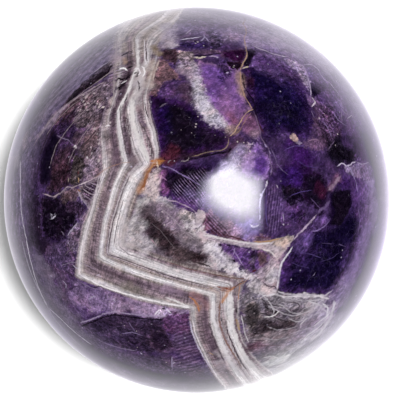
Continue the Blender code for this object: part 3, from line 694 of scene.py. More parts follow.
# Fine lines, family by family in the order in which they are laid. Each is written as its colour as seen,
# its width in pixels, its opacity and its course
VEINS = (
    ("pale lines by the fissure",
     "a79cb0 1.3 0.9 88,76.5 96,70.6 103,65.2 110,61.2",
     "a08f98 2 0.9 72,102 78,97 84,93.5 92,88.4 99,84.8 105,81.5"),
    ("lines and spots of the stack",
     "120a10 2 1 120,56.3 125,54 130,51.6 134,50",
     "4a3c44 1.4 0.8 138,49.4 144,47.4",
     "dcd4dc 1.3 0.95 144.5,39 144.5,50 144.6,58 145.5,63",
     "40303a 1.3 0.95 146,40 146,50 146.4,58 147.2,62",
     "d0c8d0 1.2 0.9 147.6,46 147.8,56 148.6,62 149,64",
     "160e14 2.4 1 126.5,68.6 130,66.8 134.5,66",
     "140c10 5 1 131.5,73 127,78 124,82.5 121.5,87 118,91.5",
     "1c1416 3.2 1 135,78 137.5,75 139.5,71",
     "f2ecf0 2.4 1 122.8,68.6 124.2,67.2"),
    ("pale line beside the wedge",
     "c0aea8 2 0.85 159.5,59 157,66 154.5,74 152.5,82"),
    ("strokes by the dark strip at the top",
     "c9bfd8 1.7 0.95 179,40 184,39.4 190,38.4 196,37.6 203,36.6",
     "b9aed0 1.6 0.9 200.5,41.6 203,39 205,36.4",
     "a89cc0 1.4 0.85 203,34 206,38 209.5,42",
     "b5a8bc 1.6 0.9 185.5,34.4 188,32 191.5,29",
     "c8b9ac 2.8 0.95 193.5,57.2 200,57.8 207,56.6",
     "a892b4 2.4 0.9 208,56.6 214,56 219.5,57.6"),
    ("black line of the upper middle",
     "0c0810 1.9 1 192.5,55.4 200,56 206,55.4 212,54.4 222,53.4"),
    ("white flecks of the upper middle",
     "bba8cc 2.2 0.9 225.5,73.4 229,71.8",
     "b5a2c8 2 0.9 230,70.6 232.5,73",
     "cdb8d8 2.2 0.95 205.6,90 207,91.6",
     "d8c8e4 2.2 0.95 211.8,94 213.2,93",
     "b09cc8 1.6 0.85 224,90 227,87.4"),
    ("dark lines beside the gold line",
     "100814 1.8 0.9 242,73 243,80 244.4,87 248.6,93.4 252.4,98.4 254.6,104 255.6,111 257.6,118",
     "3a1824 2.2 0.8 256,116 258,122 261,128 264,134"),
    ("pale arc of the upper right",
     "b0a2b6 1.7 0.9 250,44 258,48 265,50.6 272,53.6 282,56.2 288,57",
     "e0d4e4 1.8 1 281,56 285,56.8",
     "e4dae6 2.2 1 292.4,60.6 294.4,62.4 297,63.2",
     "b0a0bc 1.8 0.9 297,63.4 303,66 306.6,73 309,81 310.6,89 310.8,97"),
    ("right arc with its blob",
     "b8a9c8 2 0.95 303,64.6 312,64.6 318,69 320.4,74 324.4,79.6 330,83 334,88 340,95.4",
     "e6dcea 2.8 1 306.4,56.6 308,58",
     "241a2e 1.6 0.85 310,84 311.4,92 312.4,96 317,100"),
    ("right triangle and ragged line",
     "cbbccb 1.8 1 311,96.4 315.4,102 311.4,107.4",
     "c4b6d0 1.7 0.95 337,167 341,163.4 344,164 346,166.2 350,165.2 353,162.4 356,161.6",
     "a99ab8 1.6 0.8 356,161.6 361,164.4 366,163.6 369,162"),
    ("lilac diagonal",
     "6f5a84 3.6 0.85 330,200 326,206 321,210 317,214",
     "b8a2bc 2.2 0.95 317,214 313,219 308,224 304,229 299,233.6 293,240.6",
     "dccad8 2.4 1 307,226 304.4,229"),
    ("edges of the violet patch",
     "8f78b0 1.5 0.85 330,220 325,226 318,230.4 311,231.6",
     "9a8098 4.2 0.85 341,175.6 338,180 333,186 328,190.6"),
    ("crack of the left",
     "a8949e 1.6 0.9 42,193.4 46,194.4 49,195.6 53,197 57,195 61,193 64,190 66.5,187 69,187 71,188 "
     "75,186.5 79,185 84,183 88,181.5 94,178.5 99,176 102,173 105,169",
     "cfc0c8 1.3 0.85 78,185.6 84,183 88,181.4 94,178.4",
     "a07a68 1.2 0.6 94,178.4 104,170 112,166 122,163 132,162"),
    ("fibres of the comb",
     "a594a2 1.3 0.85 82,188 87,192 93,194.6 97,196",
     "a594a2 1.2 0.85 85,185.6 90,188.4 95,190.4",
     "a594a2 1.2 0.8 90,182.6 94,184.4 99,185.6",
     "9a8898 1.2 0.8 81,192 86,196.6 92,200",
     "a596a8 1.5 0.9 77,189 79,193 81,198 84,202 88,207"),
    ("gold and red ticks of the left",
     "8a5a40 1.8 0.8 77,189.4 81,191.6",
     "a5866a 1.6 0.9 78.2,176 78.6,180 78.4,183.4",
     "9a8a80 1.6 0.85 68.4,177 68.6,180 68.4,183",
     "6a3038 1.8 0.85 78.2,170 78.2,175"),
    ("white v and ticks of the left",
     "c0b8ca 1.5 0.9 49.6,219.6 52,218.6 55,216.6 56.4,214.4",
     "a8a0b4 1.2 0.85 50,214 51.6,217.6 53.6,219.6",
     "b5acc0 1.6 0.9 51,213 52.4,217",
     "a59cb0 1.4 0.8 55,213 53.6,216"),
    ("long lines of the left",
     "a498ae 1.7 0.95 67,236.4 70,232.2 73.4,227.4 78,222",
     "7a6c84 1.5 0.8 61,230.6 63.4,234 64.6,236.6",
     # The pale arc and the dark line beside it along the left rim are painted reflection of the white table
     # and of the edge of the ball's shadow on it
     "cfc7d6 2 1 20.4,160 20.4,176 20.6,192 21,205 21.6,214 24,228 26.6,240 29,254 32,266 38,286 48,307",
     "3c3044 1.4 0.7 23,176 23.4,200 25,222 29,244 34,264"),
    ("pale flecks of the left",
     "d8ccd6 2.2 1 73,147.6 75.4,146 76.6,148.8",
     "ccbcc4 2 0.9 90.4,146.4 91.6,148.4",
     "d0c4cc 2 0.95 86.4,156.4 88.4,159",
     "c8bcc6 1.8 0.95 92.4,150.6 91,155.4",
     "c4aab8 1.8 0.9 77.4,123.6 78.6,122.4",
     "e0cfcf 2.2 1 100.8,108.4 104.8,106",
     "d0c0c8 2 0.95 97,111.4 99.4,109.6",
     "c8b8c4 1.8 0.9 94,100.4 95.4,101.4",
     "c4b4c8 1.8 0.9 104,84 104.6,86.6",
     "b09cb4 1.8 0.9 106,97.4 108.6,98.4"),
    ("lines by the flecks",
     "160c10 2.2 0.95 101,112.4 104,110",
     "140c12 2 0.95 92.6,152.6 98,147",
     "7a6a86 1.4 0.8 56,135 62,138 68,140 73,145"),
    ("pale flecks of the violet",
     "b8accc 2 0.9 37,164.4 37.6,162.6",
     "b0a4c4 2 0.9 32.6,169.6 34,168.6",
     "a89cb8 1.8 0.85 38,196.6 39.4,195.8",
     "b0a4b8 2 0.9 39.4,214.6 40.6,213.6"),
    ("dark line of the left strip",
     "3c2c4c 1.5 0.75 30,140.4 35,136 41,130"),
    ("lines of the white band",
     "b08c66 1.7 0.85 252,241.8 262,242 270,241 276,239.4 283,237.8",
     "5a3040 2 0.7 258,236.6 268,238 275,236.4",
     "3a1a1c 1.6 0.9 222,234.6 232,236.6 240,239 246.6,241.4",
     "e0d6d6 1.8 1 262,249.4 269,251 273,253.6 277,258.4",
     "5a4448 1.2 0.8 266,252.4 270,254.6 274,259 273,262",
     "8a7a8c 1.1 0.8 206,237.6 216,240 222,242 230,243.6 238,245.4 246,246.4",
     "dcd4d8 2 0.85 202,235 212,236.4 222,238.6 234,240.8 248,243 262,243.8 274,242.6"),
    ("black of the triangle",
     "0e0612 2.6 1 217.8,243.6 220.4,244.6 223,243.6",
     "120a16 2.2 0.95 226,244.6 232,246.4",
     "0e0612 2.4 1 232,259.4 236.4,262"),
    ("streaks of the triangle",
     "a088b4 1.3 0.85 232,248 238,257 244,267",
     "9a80b0 1.3 0.85 243,256 245,259",
     "a890b8 1.2 0.8 235,247 233,256",
     "d8c8dc 2 1 248,268 249,267.4",
     "4a1c20 2.6 0.95 251.4,273 254.4,270.4 257,268.4",
     "1a1018 2.2 0.95 200.8,225.6 203.6,221.6 205.6,217.4"),
    ("streaks and flecks of the right",
     "a596b4 1.3 0.8 283,212 283.6,222",
     "d4c6dc 2.2 0.95 283,223.6 284.6,224.8",
     "d4c6dc 2 0.95 287.4,224.6 288.6,223.4"),
    ("white round the highlight",
     # Painted highlight: the white dotted edge of the softbox's reflection, on its right side and below it
     "e8e0f4 2.6 1 267.4,180 266.4,184 265.4,188",
     "dcd4ec 2.4 0.95 262,193 259.4,196.6",
     "e0d8f0 2.4 0.95 249,224.6 252.6,226.4 256,227 259,224"),
    ("dark dots of the violet",
     "2c1440 2.4 0.8 265.4,179.4 267,181"),
    ("fine lines of the upper bands",
     "a29599 2.4 0.6 117,32 117,48 116,62 114,78 114,94 115,108",
     "dcd6d8 3.4 0.95 137,38 138,52 138,66 132,80 129,90 126,97 122,103 119,110 118,118",
     "6a5458 1.3 0.8 143,92 143,104 143.5,115",
     "3a2a30 1.4 0.9 145,102 145.5,108 146.5,113 149,119",
     "b3a5a8 1.6 0.85 148,99 149.5,108 150.5,118 153,126",
     "d9d3d3 5 0.9 132,98 132.5,112 133.5,124 137,134 141,144 145,154 149,163",
     "6b5a62 1.1 0.8 127,111 128.5,120 130.5,128 131.5,136",
     "4a3540 3.6 0.9 123,116 127,122 129,132 130,142 130,150 129.5,156",
     "cdc6c9 3 0.85 117.5,119 119,130 120.5,142 122,152 124,161",
     "5d4a60 3.6 0.85 139,121 143,123 147,128",
     "241a20 1.4 0.95 138,119 142,126 146,131",
     "3a2c34 2.4 0.8 147,134 150,143 152.5,154",
     "c4bcc0 2.4 0.8 151,120 154,130 156,140 157.5,150 157,158"),
    ("thin dark lines of the bands",
     "45343f 1.4 0.9 130,175 124,188 120,200 117,210 113,222 111,232 109,245 108,253",
     "5a4854 1.1 0.85 124,198 120.5,210 117,225 114.5,240 113.5,250",
     "3c2c3a 1.4 0.9 108,254 125,260 147,268 166,275 184,280 200,284",
     "cbc4ca 1.3 0.85 112,252 130,258 152,266 174,273 196,280"),
    ("lines of the bottom run",
     "6a4a48 1.5 0.85 165,261 190,269 215,275 230,278 248,279",
     "2a1c20 2.2 0.9 194,262 203,264 212,267.5",
     "7a7078 1.4 0.8 119,246 128,254 140,258 155,262",
     "3c2a34 1.4 0.85 233,289 238,284 246,280"),
    ("white notch",
     "ddd8da 2.6 0.9 164,297 176,301 190,307"),
    ("lines of the foot run",
     "d5cfd4 4 0.8 214,300 213,318 217,330 221,340 225,350 230,360 236,370 242,377",
     "7a5a50 2 0.9 220,300 219,320 223,335 228,345 236,358 242,368",
     "140c12 2 1 221,316 221.5,322",
     "2a2028 1.5 0.95 225,318 228,333 232,342 236,352 241,362 247,370",
     "ddd8dc 1.3 0.9 227,318 230,332 234,342 238,351 243,361 249,368",
     "dcd7d9 5 0.8 231,294 231,310 232,325 236,338 241,350 248,361 256,368",
     "1c1214 2.4 1 236.5,307 236.5,314",
     "a08050 2.6 0.75 236,318 238,325 240,331",
     "c9c2c8 1.4 0.8 241,314 245,334 249,343",
     "2e2030 2.2 0.85 208,321 212,333 216,345 221,355 226,364",
     "b9afc6 1.8 0.9 190,320 192,332 197,344 202,354 208,364 214,373",
     "b09060 1.4 0.8 208,352 214,355"),
    ("pale line in the dark cell",
     "8a7a90 1.6 0.8 159,107.5 163,105 167,102.5"),
    ("gold line from the top crack",
     "a98c78 1.6 0.9 241,14 245,20 243,24 246,28 246,34 244,38 246,48 247,54 246,58 243,63 240,71",
     "ae8a74 1.4 0.85 240,70 240.5,82 244,95 248,102 251,107 253,110",
     "c8b8a6 1.8 0.9 241.5,69 249,66",
     "bd9c84 1.3 0.85 254,109 249,111 245,114 242,119 239,124 236,129 234,133 229,137",
     "94725e 1 0.6 252,112 247,117 244,123 240,130 236,134 232,136",
     "97806e 1.1 0.8 229,137 228.6,143 226,148 222,150.4 216,151 210,151.6 204,153 198,155.4 190,157",
     "0c0610 2.6 0.95 233,147.4 228,151.4 222,152.8 214,153.8 204,156 196,158.4 186,160"),
    ("curls of the gold line",
     "8a7a86 1.3 0.85 167.6,164.6 168,161.8 170,160 172.4,159.6",
     "b8a8c0 2 0.95 174,160.6 174.8,161.8",
     "8c8084 1.3 0.85 180,162.4 182,160.8 184.4,161.4 187.4,160.8 189,158.8 189.4,156"),
    ("rust heart of the stain",
     "8a5230 2.8 0.85 152,168.6 149,172 146,176 145.4,180 145,184 142,187.6 139.6,191",
     "4a2418 1.6 0.95 152.6,168 154,166.8 157.8,165.8",
     "e6cdbc 1.8 0.85 157,159.4 157.2,165 158.6,168.4",
     "4a3020 2 0.9 150.4,156.8 153.6,156.6",
     "5a2c1c 2 0.9 147.2,171 148.6,173.4",
     "6a4434 1.2 0.8 147.6,182.6 150,182.4",
     "6a4c44 1.2 0.8 148,178.6 150.4,179"),
    ("rust of the corner",
     "74321e 1.9 0.95 215,286.4 221,287.2 226.4,288.2 232,289.6",
     "48190f 1.9 0.95 222.6,290.6 227.4,291.4",
     "a8703f 2.6 0.8 229,292.4 226,296 223.4,299 221.4,304",
     "86675c 1.5 0.95 234,287.8 238,285.4 243,283 247,280 250.4,277.2"),
    ("dashes of the run",
     "85714f 1.7 0.8 208.4,287.6 213.8,288.8",
     "5c4038 1.8 0.85 208,272.8 214,274.4 220,275.6 228,277.4 234,278.6"),
    ("branch",
     "7a6480 1.3 0.6 253,110 256,117 260,130 261,138 269,149 270,160 272,170 270,177",
     "8a76a0 1.1 0.45 270,147 273,152 275.4,158 277,164 282,170 289,175.4"),
    ("sparkles of the bright triangle",
     "c4b0e0 2 0.9 264,143.4 267.6,147.6",
     "b8a2dc 1.8 0.9 269,150 270,154",
     "b8a2dc 1.6 0.85 270,160.6 270.4,164.4",
     "b09ad4 1.6 0.85 271.6,168 270.6,174"),
    ("stripes right of the highlight",
     # The first, pale one is painted highlight along the reflection's right edge; the other two are
     # twin-layer stripes
     "c6bce0 1.8 0.85 266,187 262.4,193 260.4,199 259.8,207 260,215 259.6,221",
     "1a0f38 1.3 0.7 264,196 262.6,206 262.6,216 264,226",
     "5a4a88 1.4 0.7 267,192 266,204 266,216 268,228"),
    ("dashes of the right arc",
     "b8a8bc 1.2 0.8 268,181 265,187",
     "b8a8bc 1.2 0.8 276,184 278.5,189",
     "b8aebe 1.6 0.7 262,30 270,36 276,42 281,51",
     "c9bfce 1.2 0.8 283,50 289,53"),
    ("streaks of the dark cell",
     "6a587a 1.3 0.8 303,93 311,99",
     "7a6688 1.3 0.8 311,110 315,119"),
    ("lines and hook right of the clouds",
     "a090aa 1.2 0.8 341,108 344,112 348,115",
     "a090aa 1.1 0.8 341,110 342,122",
     "b0a2b8 1.3 0.85 347,119 352,115 353,119"),
    ("arc of the pale rose",
     "8a6a88 1.6 0.8 307,142 313,139.5 320,140",
     "6d5878 1.3 0.7 335,140 327,151",
     "5f4a74 1.3 0.7 310,197 315,203 321,209"),
    ("edge and lines of the right polygon",
     "d3ccd8 2.4 0.95 293,246 286,257 282,262 280,268 279,275 278,284 277,290",
     "c6bec9 2 0.9 277,291 285,294 300,294.5 313,295 325,295.5 333,290",
     "d8d2d8 3.6 0.9 303,292 306,295 309,293",
     "8d7fa0 1.3 0.85 312.5,276.5 316,272",
     "5f4f78 1.1 0.8 338,244 347,247",
     "5a4a72 1.1 0.7 320,243 333,244"),
    ("edge of the twin layers",
     "b8a0b8 1.4 0.8 160,196.4 168,200 176,201.4 184,205 192,209 198,214",
     "a878a8 1.3 0.8 161,176.4 164,178.4 167.4,180.6",
     "8f78ac 1.5 0.85 161,166.6 168,167 174,170 180,173.6 184,175.6 188,178 194,181.6 201,186"),
    ("marks under the veil",
     "1a1216 2 0.95 185,230 190,232",
     "ece8ea 2.6 0.9 185,226 188,228"),
    ("lines of the brown cell",
     "a88494 1.4 0.85 150,238 158,247",
     "a59aa4 1.4 0.7 150,197 161,201 172,207",
     "c0b6bc 1.2 0.8 199,250 203,250",
     "c0b6bc 1.2 0.8 200,254.5 205,250.5",
     "3a2a38 1.4 0.9 262,281 267,286 275,286.5 277,290"),
    ("black line and crumbs of the clouds",
     "1c1418 2.8 0.95 262,300 266,307 270,311.6 276,312.6 282,311.5",
     "1c1418 2.4 0.9 252.6,296 253.6,300",
     "241a20 2 0.9 268,300 269.6,300.6",
     "20181c 2.2 0.9 257,292.4 259,293.6"),
    ("loops and bright lines of the clouds",
     "a89eaa 1.3 0.8 284,300 290,301 296,301.4 300,304 298,308 292,309",
     "b0a6b2 1.3 0.8 280,304 283,302 286,305 289,308",
     "b4aab6 1.4 0.8 300,312 304,309 310,306 316,304",
     "4a4048 1.4 0.85 285,303 292,302 298,303.6 300,306 296,309 288,313",
     "e0dadd 1.8 0.95 263,317 269,317 275,315 280,310",
     "dcd6da 1.6 0.9 299,326 303,322 308,317",
     "5a4048 1.5 0.85 252,346 268,345.6 286,344.6"),
    ("dashes and arcs of the low clouds",
     "3a2a38 1.6 0.85 250,340.6 258,340.4 266,341",
     "a89ea8 1.3 0.7 262,366.6 268,367.4 276,367.6 286,366.6",
     "b0a6b0 1.3 0.6 266,360.4 276,357.6 286,356",
     "3a3034 1.6 0.8 246,298 252,300 259,299"),
    ("lines of the foot cell",
     "9a8aa8 1.8 0.9 80,323 95,318 105,313.5 115,311.5 130,314 150,316 166,316.5",
     "0e0814 2.2 0.95 81,326 95,321 105,316.5 115,314.5 130,317 150,319 164,319.5",
     "7a6a8e 1.2 0.8 128,321 132,327 136,333",
     "8a7c98 1.4 0.8 98,340 110,345 120,348 137,351",
     "0a060a 3.2 1 161.5,314 162.8,314.6",
     "8a7a98 1.2 0.7 174,360 172.5,366 172,373",
     "9488a2 1.2 0.7 147,367 152,369 158,371",
     "9488a2 1.1 0.6 140,370 148,372 155,373"),
    ("crack by the left rim",
     # A pale painted reflection of the white table, going on from the arc along the left rim
     "d2cadc 1.8 0.9 48,307 60,318 70,328 77,334 92,345"),
    ("dark spots",
     "2a2030 2.4 0.8 40,94 41,98",
     "2a2030 2.2 0.8 38.5,103 38,107",
     "2a2030 2 0.7 38,116 38,120",
     "2a2030 2.4 0.8 139,21.5 141.5,22"),
    ("streaks of the lilac shoulder",
     "a59cb0 1.2 0.5 60,80 76,66 92,54",
     "5f5570 1.3 0.5 70,84 84,70 100,56",
     "a59cb0 1.1 0.45 84,62 98,50 112,42"),
    ("arcs of the left",
     "9a8a90 1.6 0.75 33,147 50,120 70,103 100,80 117,67",
     "2a1c26 2 0.75 37,177 41,152 50,130 62,115 80,100",
     "9a8a90 1.3 0.7 50,166 56,146 67,130 83,112 101,96",
     "33262e 1.6 0.7 58,170 64,152 74,136 90,118 104,104",
     "9a8a90 1.2 0.7 46,136 58,119 74,104 92,92 108,82",
     "241820 1.5 0.75 44,150 54,130 68,114 86,101 102,90",
     "9a8a90 1.2 0.65 68,164 74,150 84,134 94,122",
     "2c2028 1.8 0.7 74,168 80,152 88,140 98,128",
     "9a8a90 1.4 0.65 38,140 48,124 60,110 76,97"),
    ("scratches of the left",
     "8a7c86 1.1 0.6 52,200 62,192 72,186",
     "7a6c78 1.1 0.6 64,256 74,246 84,236",
     "877990 1.2 0.6 60,266 72,262 84,264 96,270",
     "8d7f98 1.1 0.6 80,282 92,288 104,290"),
    ("ring outside the left arc",
     # Painted reflection along the lower left rim: a dark ring of the shadowed table and a pale arc of the
     # lit one
     "32283e 2 0.8 50,312 62,326 78,342 96,356 112,366",
     "cfc9da 2.4 0.6 22,240 30,270 40,292 54,318 70,336 86,350"),
    ("lower streaks of the lilac shoulder",
     "a098ac 1.1 0.5 44,112 54,98 66,86 78,78",
     "544a64 1.2 0.5 48,108 60,94 74,82 88,72",
     "a098ac 1 0.45 92,44 104,36 118,30",
     "5a506c 1.1 0.45 90,58 102,48 112,44"),
    ("facets of the crystals",
     "e4dce8 1.6 0.95 154,315.6 158,311 162,308.6",
     "dcd4e4 1.6 0.95 157,315 161,311.4",
     "d8d0e0 1.5 0.9 166,308 169,311.4 172,314",
     "1c1420 1.8 0.95 160.4,309.6 164,308 166,310.6"),
    ("threads of the brown cell",
     "a89ca4 1.2 0.45 160,208 168,214 176,222 184,232 196,240",
     "8a7e86 0.9 0.35 150,222 160,230 168,240 176,250",
     "b0a4ac 1.1 0.75 178,224 188,232 200,238"),
    ("scratches of the right",
     "584484 1.2 0.75 290,196 300,192 312,190",
     "6a5694 1 0.7 284,150 294,146 306,146",
     "4c3a74 1.1 0.7 296,160 306,166 318,168",
     "8a78a8 1.2 0.7 322,120 328,128 332,138",
     "9484ac 1.1 0.7 332,110 338,120 346,126",
     "9a8ab4 1.2 0.75 350,170 356,182 358,194",
     "7e6c98 1.1 0.7 358,206 360,220 358,234",
     "a494bc 1.3 0.75 344,164 350,168 354,176"),
    ("marks of the low left",
     "b8acc0 1.6 0.9 96,276 100,274",
     "a89cb4 1.4 0.85 72,264 76,268 80,268",
     "b0a4bc 1.4 0.85 112,298 116,302",
     "a094b0 1.3 0.8 88,300 94,296 98,298",
     "a89cb8 1.3 0.8 62,280 66,284 66,290",
     "2a1c34 1.8 0.8 70,290 76,286 82,286",
     "2c1e36 1.8 0.8 92,288 100,286 106,290"),
    ("marks of the foot",
     "140a1c 2.6 0.9 128,340 134,344 138,342",
     "140a1c 2.4 0.9 150,334 156,340 160,338",
     "b4a8c4 1.6 0.9 140,352 143,355",
     "b4a8c4 1.5 0.9 172,364 176,362",
     "a498b8 1.3 0.8 172,356 172,362 172,368",
     "8c7ca4 1.2 0.75 120,334 132,332 144,336"),
    ("marks of the stack",
     "f0eaee 2.2 0.95 118,70 121,68 125,68.6 128,71",
     "181014 3 1 115,80.6 119,78.6 123,79.6 127,77.4",
     "e8e2e6 1.8 0.9 120,84 124,82 128,80",
     "181014 3 1 116.6,89.6 120,86.6 124,85.6",
     "e8e0e6 1.8 0.9 133,70 136,68 139,69 140,73 137,76",
     "22181c 2.2 0.95 133.6,73.6 137.4,72.4",
     "ece6ea 2 0.9 141,66 144,68 145,73 142,78",
     "2a1e24 1.6 0.9 137.6,80 139.6,86 138.6,92",
     "1e161a 1.8 0.9 128.4,92 126.4,98 124.4,104",
     "e6dfe4 1.8 0.9 104,127 107,125.4 111,126",
     "3a2c34 1.6 0.85 121.6,104 119.6,110 121,115 120,121"),
    ("rust lines at the bends",
     "b8743e 2.4 0.95 149,161.4 155,160.6 161,161.2 166,160",
     "b07a50 2.2 0.85 144,181 147,174 151,167 156,162",
     "b8743e 1.8 0.9 224,293 231,290 238,285 244,280",
     "b07c58 1.4 0.8 240,284 239,292 238,301",
     "b07248 2.2 0.85 188,296 194,300 198,306 199,313"),
    ("folds of the clouds",
     "c8c2ca 1.6 0.6 258,292 264,296 270,303 274,311 272,318",
     "201a1e 1.8 0.85 261,298 266,303 269,310",
     "cdc7cf 1.4 0.55 276,303 283,306 290,312 298,314 305,310",
     "d2ccd4 1.5 0.6 288,318 296,322 305,320 313,315 322,312",
     "282226 1.5 0.8 284,314 293,317 302,316",
     "bdb6c0 1.3 0.55 266,326 277,330 288,329 298,326",
     "b5aeb8 1.3 0.55 262,338 274,340 286,338 297,333",
     "d6d0d8 1.6 0.6 306,300 314,303 322,306 331,305",
     "aca4b0 1.2 0.5 300,328 310,330 318,325 326,322",
     "d8d3da 1.8 0.9 262,358 272,356 282,359 292,355",
     "302a2e 1.4 0.8 255,300 257,308 258,316 256,324"),
    ("pale edges of the outermost band",
     "ece6ea 2.4 0.9 79.5,274.6 95,282.8 112,289.6 140,297.6 168,304 191,307.8",
     "cfc4cb 1.8 0.75 78,272 82,250 88,226 95,198 99,176"),
    ("white rim of the clouds",
     "e6e2e8 4.6 0.6 334,300 333.6,308 330.6,317 325,327 317,336 308,344",
     "efecf0 2.2 0.9 322,303 328,308 327,316 320,321 313,327",
     "efecf0 1.8 0.85 330,310 326,320 317,329 308,335 300,343",
     "e2dde4 2 0.8 304,340 296,350 286,358 276,362"),
    ("scratches of the right polygon",
     "4a3c6a 1.1 0.7 290,262 300,266 310,268",
     "55467a 1.1 0.7 298,252 310,254 322,258",
     "4a3c6a 1 0.7 320,262 332,258 340,252"),
    ("wisps of the clouds",
     "d8d0d8 2.6 0.95 262,296 274,294 284,297 296,296 308,297 318,296 330,299",
     "d0c8d2 1.6 0.55 268,306 276,310 284,314 294,316 304,313 314,309",
     "cfc8d2 1.4 0.55 318,304 324,310 330,314 334,308",
     "221c20 1.6 0.85 256,312 266,314 276,318 288,322",
     "221c20 1.3 0.8 262,302 270,305 280,306 290,308",
     "2a2226 1.3 0.8 264,330 276,328 286,326",
     "c2bac4 1.4 0.6 282,298 292,299 304,301 316,300 326,298",
     "b4acb8 1.3 0.55 300,318 312,312 322,308 332,304",
     "bcb4c0 1.3 0.75 290,334 302,330 314,326 326,318",
     "c4bcc8 1.2 0.7 284,350 298,346 312,340 324,332"),
    ("last streak of the lilac shoulder",
     "5f5570 1.2 0.5 50,96 62,84 72,72"),
)

# Sets of thin twin layers: name, strength, spacing, direction in which they follow one another, outline
TWIN_LAYERS = (
    ("beside the orange stain", 0.8, 2.6, "1,-0.85",
     "172,182 204,166 209,174 207,192 202,210 188,206 172,199"),
    ("right of the highlight", 0.38, 2.6, "1,0.12",
     "263,184 278,184 284,200 284,222 280,234 268,236 263,214"),
    ("in the brown pink triangle", 0.7, 2.8, "1,-0.9", "206,205 222,218 238,238 222,238 204,230"),
    ("at the foot", 0.42, 3.2, "0.25,1", "172,320 190,320 198,340 204,366 196,374 176,372"),
    ("lilac streaks on the left", 0.4, 3.6, "1,0.2", "98,290 124,290 124,312 98,312"),
    ("shoulder", 0.35, 4.4, "1,1", "44,104 62,70 98,40 118,50 108,62 72,94 50,118"),
    ("left rim", 0.3, 3.6, "1,0.05", "6,176 22,176 24,236 10,240"),
    ("above the black streak", 0.8, 2.7, "0.35,0.94", "104,80 109,72 117,66 127,68 127,73 118,79 108,84"),
    ("comb of the left", 0.6, 2.8, "0.45,-0.9", "80,188 98,178 100,186 92,203 84,200"),
)

# Pale specks: name, density, radius, where
SPECKS = (
    ("speckled ground", 1.0, 17, "90,100 96,120 98,140 98,158"),
    ("specks on the left", 0.8, 12, "76,146 88,158"),
    ("top strip", 0.9, 11, "196,40 214,42"),
    ("pink speckle", 0.8, 12, "236,146 248,150"),
    ("under the maroon", 0.7, 8, "228,70"),
    ("brown cell", 0.7, 12, "144,208 152,216"),
    ("right cloud", 0.7, 12, "326,120 326,134"),
    ("clouds", 0.6, 24, "262,304 292,312"),
    ("foot cell", 0.6, 16, "120,324 148,338"),
    ("great dark cell", 0.55, 13, "182,90 196,112 204,134"),
    ("granular foot", 0.6, 12, "150,352 164,360"),
    ("under the bands", 0.5, 16, "92,304 116,308"),
    ("left edge of the bands", 0.5, 8, "108,150 104,176"),
)

# Where the growth bands fade into the stone: name, how much of them is left, radius, where
FADED_BANDS = (
    ("outermost band over the shoulder", 0.45, 8, "122,24 114,44 114,64"),
    ("gap above the fissure", 0.5, 7, "126,30 126,52 124,64"),
    ("outermost band by the fissure", 0.35, 7, "112,76 111,92 108,108"),
    ("broad band by the wedge stone", 0.6, 5, "156,44 154,58"),
    ("top of the bands", 0.7, 8, "140,26 160,20 176,22"),
)


def linear(colour):
    """An sRGB hex colour as linear red, green and blue."""
    parts = [int(colour[i : i + 2], 16) / 255 for i in (0, 2, 4)]
    return np.array([p / 12.92 if p <= 0.04045 else ((p + 0.055) / 1.055) ** 2.4 for p in parts])


def painted(colour):
    """A hex colour as the studio light shows it, turned into the stone's own linear colour."""
    return linear(colour) / LIGHT_LEVEL


def four(colour):
    return (*colour, 1.0)


def pixels(text):
    """Pairs written x,y as an array of the photograph's pixels."""
    return np.array([[float(n) for n in pair.split(",")] for pair in text.split()])


def on_ball(places):
    """The points of the ball seen at these pixels, in millimetres from its middle."""
    half = PHOTO_SIDE / 2
    across = (places[:, 0] - half) / half * VIEW_SLOPE
    up = (half - places[:, 1]) / half * VIEW_SLOPE
    rays = np.column_stack((across, up, -np.ones(len(places))))
    a = (rays**2).sum(1)
    b = rays @ EYE_MM
    c = EYE_MM @ EYE_MM - RADIUS_MM**2
    root = np.sqrt(np.maximum(b * b - a * c, 0.0))
    points = EYE_MM + ((-b - root) / a)[:, None] * rays
    return points / np.linalg.norm(points, axis=1)[:, None] * RADIUS_MM


def seen_at(spots):
    """The pixels at which the photograph's camera sees these points of the ball."""
    half = PHOTO_SIDE / 2
    depth = EYE_MM[2] - spots[:, 2]
    across = (spots[:, 0] - EYE_MM[0]) / depth / VIEW_SLOPE
    up = (spots[:, 1] - EYE_MM[1]) / depth / VIEW_SLOPE
    return np.column_stack((half + half * across, half - half * up))


def mirrored_view(points):
    """At points of the ball: the way out of it, how squarely it is seen, and the way the gloss looks."""
    normal = points / RADIUS_MM
    toward = EYE_MM - points
    toward /= np.linalg.norm(toward, axis=1)[:, None]
    squareness = (normal * toward).sum(1)
    return normal, squareness, 2 * squareness[:, None] * normal - toward


def ease(low, high, value):
    """0 below low, 1 above high, and a smooth rise between."""
    t = np.clip((value - low) / (high - low), 0.0, 1.0)
    return t * t * (3 - 2 * t)


def mixed(under, over, amount):
    """Colours blended by an amount for each spot."""
    return under + (over - under) * amount[:, None]


def all_round(angle, table, column):
    """A column of a table of angles, read between its rows and on round the circle."""
    rows = np.array(table)
    return np.interp(angle, rows[:, 0], rows[:, column], period=360.0)


def trace(spots, points, closed=False):
    """For each spot: distance to a traced line, which side it is on, and how far along it is."""
    if closed:
        points = np.vstack((points, points[:1]))
    best = np.full(len(spots), REACH_MM * 4)
    side = np.ones(len(spots))
    along = np.zeros(len(spots))
    walked = 0.0
    for start, end in zip(points[:-1], points[1:]):
        step = end - start
        length = np.linalg.norm(step)
        middle = (start + end) / 2
        near = np.flatnonzero(((spots - middle) ** 2).sum(1) < (length / 2 + REACH_MM) ** 2)
        if len(near) and length > 0:
            offset = spots[near] - start
            t = np.clip(offset @ step / length**2, 0.0, 1.0)
            gap = offset - t[:, None] * step
            distance = np.linalg.norm(gap, axis=1)
            closer = distance < best[near]
            which = near[closer]
            best[which] = distance[closer]
            side[which] = np.where(np.cross(step, gap[closer]) @ middle >= 0, 1.0, -1.0)
            along[which] = walked + t[closer] * length
        walked += length
    return best, side, along, walked


